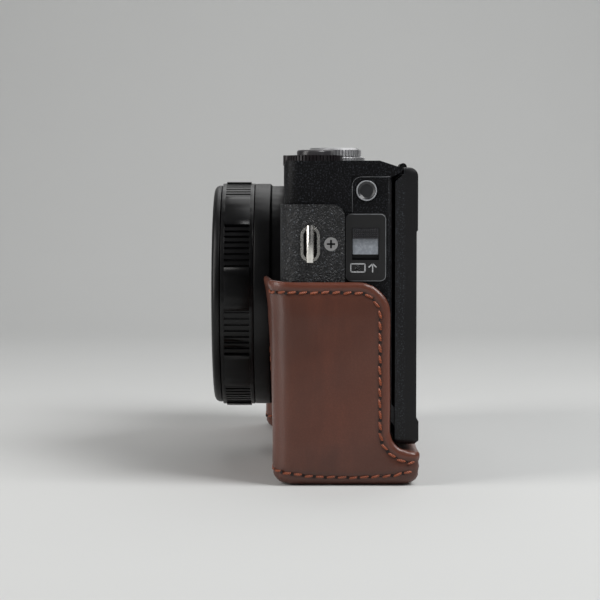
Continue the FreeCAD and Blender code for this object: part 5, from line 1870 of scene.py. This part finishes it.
                lean = Vector((0.0, -self.flare * lift * near, self.tip_rise * lift * near * near))
            lean.y -= self.bulge(place)
            if place.y > self.rear - 3.0 and place.z < self.lip_top + 1.0:
                lean.y += self.toe * min(1.0, (place.y - self.rear + 3.0) / 2.0)
            outside = self.is_outside(place, normals[index])
            grain_side = 1.0 if outside else 0.0
            move = (swell + puff) * grain_side - self.groove_depth * press * grain_side
            lean.x += self.belly(place)
            vertex.co = (place + normals[index] * move + lean) * MM
        seam_shade_mark.data.foreach_set("value", seam_shade_values)
        rim_highlight_mark.data.foreach_set("value", rim_highlight_values)

    def bulge(self, place: Vector) -> float:
        """Millimetres by which the front wall bows forward at a place, most around the lens.

        Args:
            place: A point in millimetres.

        Returns:
            The shift toward -Y.
        """
        wall = max(0.0, min(1.0, (self.front + 3.5 - place.y) / 2.0))
        rise = max(0.0, min(1.0, (place.z - 8.0) / 32.0))
        return self.bow * wall * rise * (1 - self.bow_fade * self.ease(abs(place.x), *self.bow_reach))

    def belly(self, place: Vector) -> float:
        """Millimetres by which an end wall swells outwards at a place, with its sign along X.

        Args:
            place: A point in millimetres.

        Returns:
            The signed shift along X.
        """
        side = 1 if place.x > 0 else -1
        limit = self.left if side > 0 else -self.right
        wall = self.ease(side * place.x, limit - 3.4, limit - 1.6)
        middle = (self.front + self.side_rear) / 2
        across = max(0.0, 1 - ((place.y - middle) / (self.side_rear - middle)) ** 2)
        return side * self.dome * wall * across * self.ease(place.z, 1.0,
                                                            9.0) * (1 - self.ease(place.z, 33.0, 40.0))

    @staticmethod
    def ease(value: float, low: float, high: float) -> float:
        """Smooth step from 0 at low to 1 at high."""
        share = max(0.0, min(1.0, (value - low) / (high - low)))
        return share * share * (3 - 2 * share)

    def is_outside(self, place: Vector, normal: Vector) -> bool:
        """Whether a point lies on the outer face rather than on the lining.

        Args:
            place: A point in millimetres.
            normal: The surface normal there.

        Returns:
            True on the outer face.
        """
        if place.z < 2.0 and normal.z < 0.3:
            return place.z < 0.8 or abs(normal.z) < 0.9
        if normal.x > 0.5:
            return place.x > self.left - 0.7
        if normal.x < -0.5:
            return place.x < self.right + 0.7
        if normal.y < -0.3:
            return place.y < self.front + 0.7
        if normal.y > 0.5:
            return place.y > self.rear - 0.7 or (place.x > self.left - 1.0 or place.x < self.right + 1.0)
        return False

    def line(self, piece: bpy.types.Object) -> None:
        """Give the inner faces the suede lining.

        Args:
            piece: The shaped leather.
        """
        mesh = piece.data
        mesh.materials.clear()
        mesh.materials.append(self.leather.material())
        mesh.materials.append(self.lining.material())
        for face in mesh.polygons:
            place, normal = face.center / MM, face.normal
            wall_x = (normal.x < -0.6 and place.x > self.left - 2.2
                      or normal.x > 0.6 and place.x < self.right + 2.2)
            wall_y = (normal.y > 0.6 and place.y < self.front + 2.4
                      or normal.y < -0.6 and place.y > self.rear - 2.2)
            floor = normal.z > 0.6 and place.z < 2.4
            face.material_index = (Hide.LINING if wall_x or wall_y or floor else Hide.GRAIN).value
        mesh.shade_smooth()

    def stitch_mesh(self, place: Vector, along: Vector, normal: Vector, chance: random.Random
                    ) -> tuple[list[Point], list[list[int]]]:
        """One raised stitch whose ends dip into the needle holes.

        Args:
            place: Middle of the stitch on the leather, in millimetres.
            along: Direction of sewing.
            normal: Outward direction.
            chance: Seeded source of the small irregularities.

        Returns:
            Points and faces of the stitch.
        """
        side = normal.cross(along).normalized()
        slant = math.radians(self.slant + chance.uniform(-self.slant_spread, self.slant_spread))
        run = (along * math.cos(slant) + side * math.sin(slant)).normalized()
        across = normal.cross(run).normalized()
        half = self.stitch / 2 * chance.uniform(0.95, 1.05)
        thick = self.thread * chance.uniform(0.94, 1.05)
        rings, around = 9, 8
        points: list[Point] = []
        for ring in range(rings):
            t = -1 + 2 * ring / (rings - 1)
            centre = place + run * (half * t) + normal * (0.20 * (1 - abs(t) ** 2.6) - 0.13)
            taper = math.sqrt(max(0.0, 1 - abs(t) ** 5)) * 0.82 + 0.18
            for index in range(around):
                angle = 2 * math.pi * index / around
                ply = 1 + 0.13 * math.cos(2 * angle + t * 5.2)
                offset = across * math.cos(angle) + normal * (math.sin(angle) * 0.86)
                points.append(tuple(centre + offset * (thick * taper * ply)))
        faces = []
        for ring in range(rings - 1):
            for index in range(around):
                after = (index + 1) % around
                faces.append([ring * around + index, ring * around + after,
                              (ring + 1) * around + after, (ring + 1) * around + index])
        faces.append(list(range(around))[::-1])
        faces.append([(rings - 1) * around + index for index in range(around)])
        return points, faces

    def needle_hole(self, place: Vector, along: Vector, normal: Vector) -> tuple[list[Point], list[list[int]]]:
        """Dark dimple between two stitches, painted shade standing in for the needle hole.

        Args:
            place: Middle of the hole.
            along: Direction of sewing.
            normal: Outward direction.

        Returns:
            Points and faces of the dimple.
        """
        across = normal.cross(along).normalized()
        points: list[Point] = [tuple(place - normal * 0.02)]
        for index in range(10):
            angle = 2 * math.pi * index / 10
            reach = along * (self.hole[0] * math.cos(angle)) + across * (self.hole[1] * math.sin(angle))
            points.append(tuple(place + reach + normal * 0.05))
        return points, [[0, 1 + index, 1 + (index + 1) % 10] for index in range(10)]

    def sew(self, seams: Sequence[SeamPath]) -> list[bpy.types.Object]:
        """Stitches and needle holes along every sewn line.

        Args:
            seams: The settled sewn lines.

        Returns:
            The thread and the needle holes.
        """
        chance = random.Random(41)
        stitches, holes = [], []
        for seam in seams:
            for place, along, normal in seam.spots(self.pitch):
                side = normal.cross(along).normalized()
                sway = side * chance.uniform(-self.sway, self.sway)
                sunk = place - normal * 0.10 + sway
                stitches.append(self.stitch_mesh(sunk, along, normal, chance))
                holes.append(self.needle_hole(sunk + along * (self.pitch / 2), along, normal))
        points, faces = Craft.join(stitches)
        thread = Craft.piece("case_stitches", points, faces, self.thread_finish)
        points, faces = Craft.join(holes)
        marks = Craft.piece("case_needle_holes", points, faces, self.hole_finish)
        for made in (thread, marks):
            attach(made, "half_case")
        LOG.info("half case: %d stitches", len(stitches))
        return [thread, marks]

    def build(self, nodes: dict[str, bpy.types.Object]) -> None:
        """Make, sew and dress the leather.

        Args:
            nodes: The CAD nodes by name.
        """
        piece = self.shell(nodes["case_shell"])
        work = bmesh.new()
        work.from_mesh(piece.data)
        skin = BVHTree.FromBMesh(work)
        guides = [guide for end in (1, -1) for guide in (self.upper_guide(end), self.lower_guide(end))]
        seams = [SeamPath.snap(guide, skin) for guide in guides]
        work.free()
        self.shape(piece, seams)
        self.line(piece)
        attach(piece, "half_case")
        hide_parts("case_shell")
        work = bmesh.new()
        work.from_mesh(piece.data)
        skin = BVHTree.FromBMesh(work)
        seams = [self.settle(seam, skin) for seam in seams]
        work.free()
        self.sew(seams)
        board = MouldedPlastic("case_board", from_screen(52, 38, 31), 1.4, 0.03, 0.7)
        Craft.dress(nodes["case_base"], board)
        Craft.soften(nodes["case_base"], 0.2)
        LOG.info("half case: %d faces of leather", len(piece.data.polygons))

    def settle(self, seam: SeamPath, skin: BVHTree) -> SeamPath:
        """Lay a sewn line on the finished leather again, filling the pressed groove.

        Args:
            seam: The sewn line.
            skin: Search tree of the shaped leather, in metres.

        Returns:
            The line on the new surface.
        """
        points = []
        for point, normal in zip(seam.points, seam.normals):
            spot, _, _, _ = skin.find_nearest(point * MM)
            points.append(spot / MM + normal * 0.12)
        return SeamPath(points, seam.normals)


@dataclass
class CaseScrew:
    """Thumb screw under the case."""

    knurls: int = 40
    radius: float = 8.0

    alloy: Finish = SpunAlloy("screw_alloy", (0.42, 0.42, 0.43), (0.0, 0.0), 0.3)

    def edge_knurl(self) -> bpy.types.Object:
        """Fine raised ribs round the flange's rim.

        Returns:
            The new piece.
        """
        parts = []
        for index in range(self.knurls):
            angle = 2 * math.pi * index / self.knurls
            outline = []
            for step in range(5):
                at = angle + math.pi / self.knurls * (step / 4 - 0.5)
                reach = self.radius + 0.12 * math.sin(math.pi * step / 4)
                outline.append((reach * math.cos(at), reach * math.sin(at)))
            outline.append(((self.radius - 0.2) * math.cos(angle), (self.radius - 0.2) * math.sin(angle)))
            parts.append(Craft.prism(outline, 0.35, 2.3, lambda a, b, depth: (a, b, depth)))
        points, faces = Craft.join(parts)
        made = Craft.piece("screw_knurl", points, faces, self.alloy, smooth=False)
        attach(made, "thumb_screw")
        return made

    def build(self, nodes: dict[str, bpy.types.Object]) -> None:
        """Dress the screw and knurl its rim.

        Args:
            nodes: The CAD nodes by name.
        """
        Craft.dress(nodes["case_screw"], self.alloy)
        Craft.soften(nodes["case_screw"], 0.2)
        LOG.info("case screw: %s", self.edge_knurl().name)


def main() -> None:
    """Build the studio and every sub-assembly."""
    logging.basicConfig(level=logging.INFO, format="%(name)s: %(message)s")
    nodes = frame["nodes"]
    Studio().build()
    for unit in (BodyCovers(), LensUnit(), TopDials(), EndKeys(), RearPanel(), HalfCase(), CaseScrew()):
        unit.build(nodes)


if __name__ == "__main__":
    main()
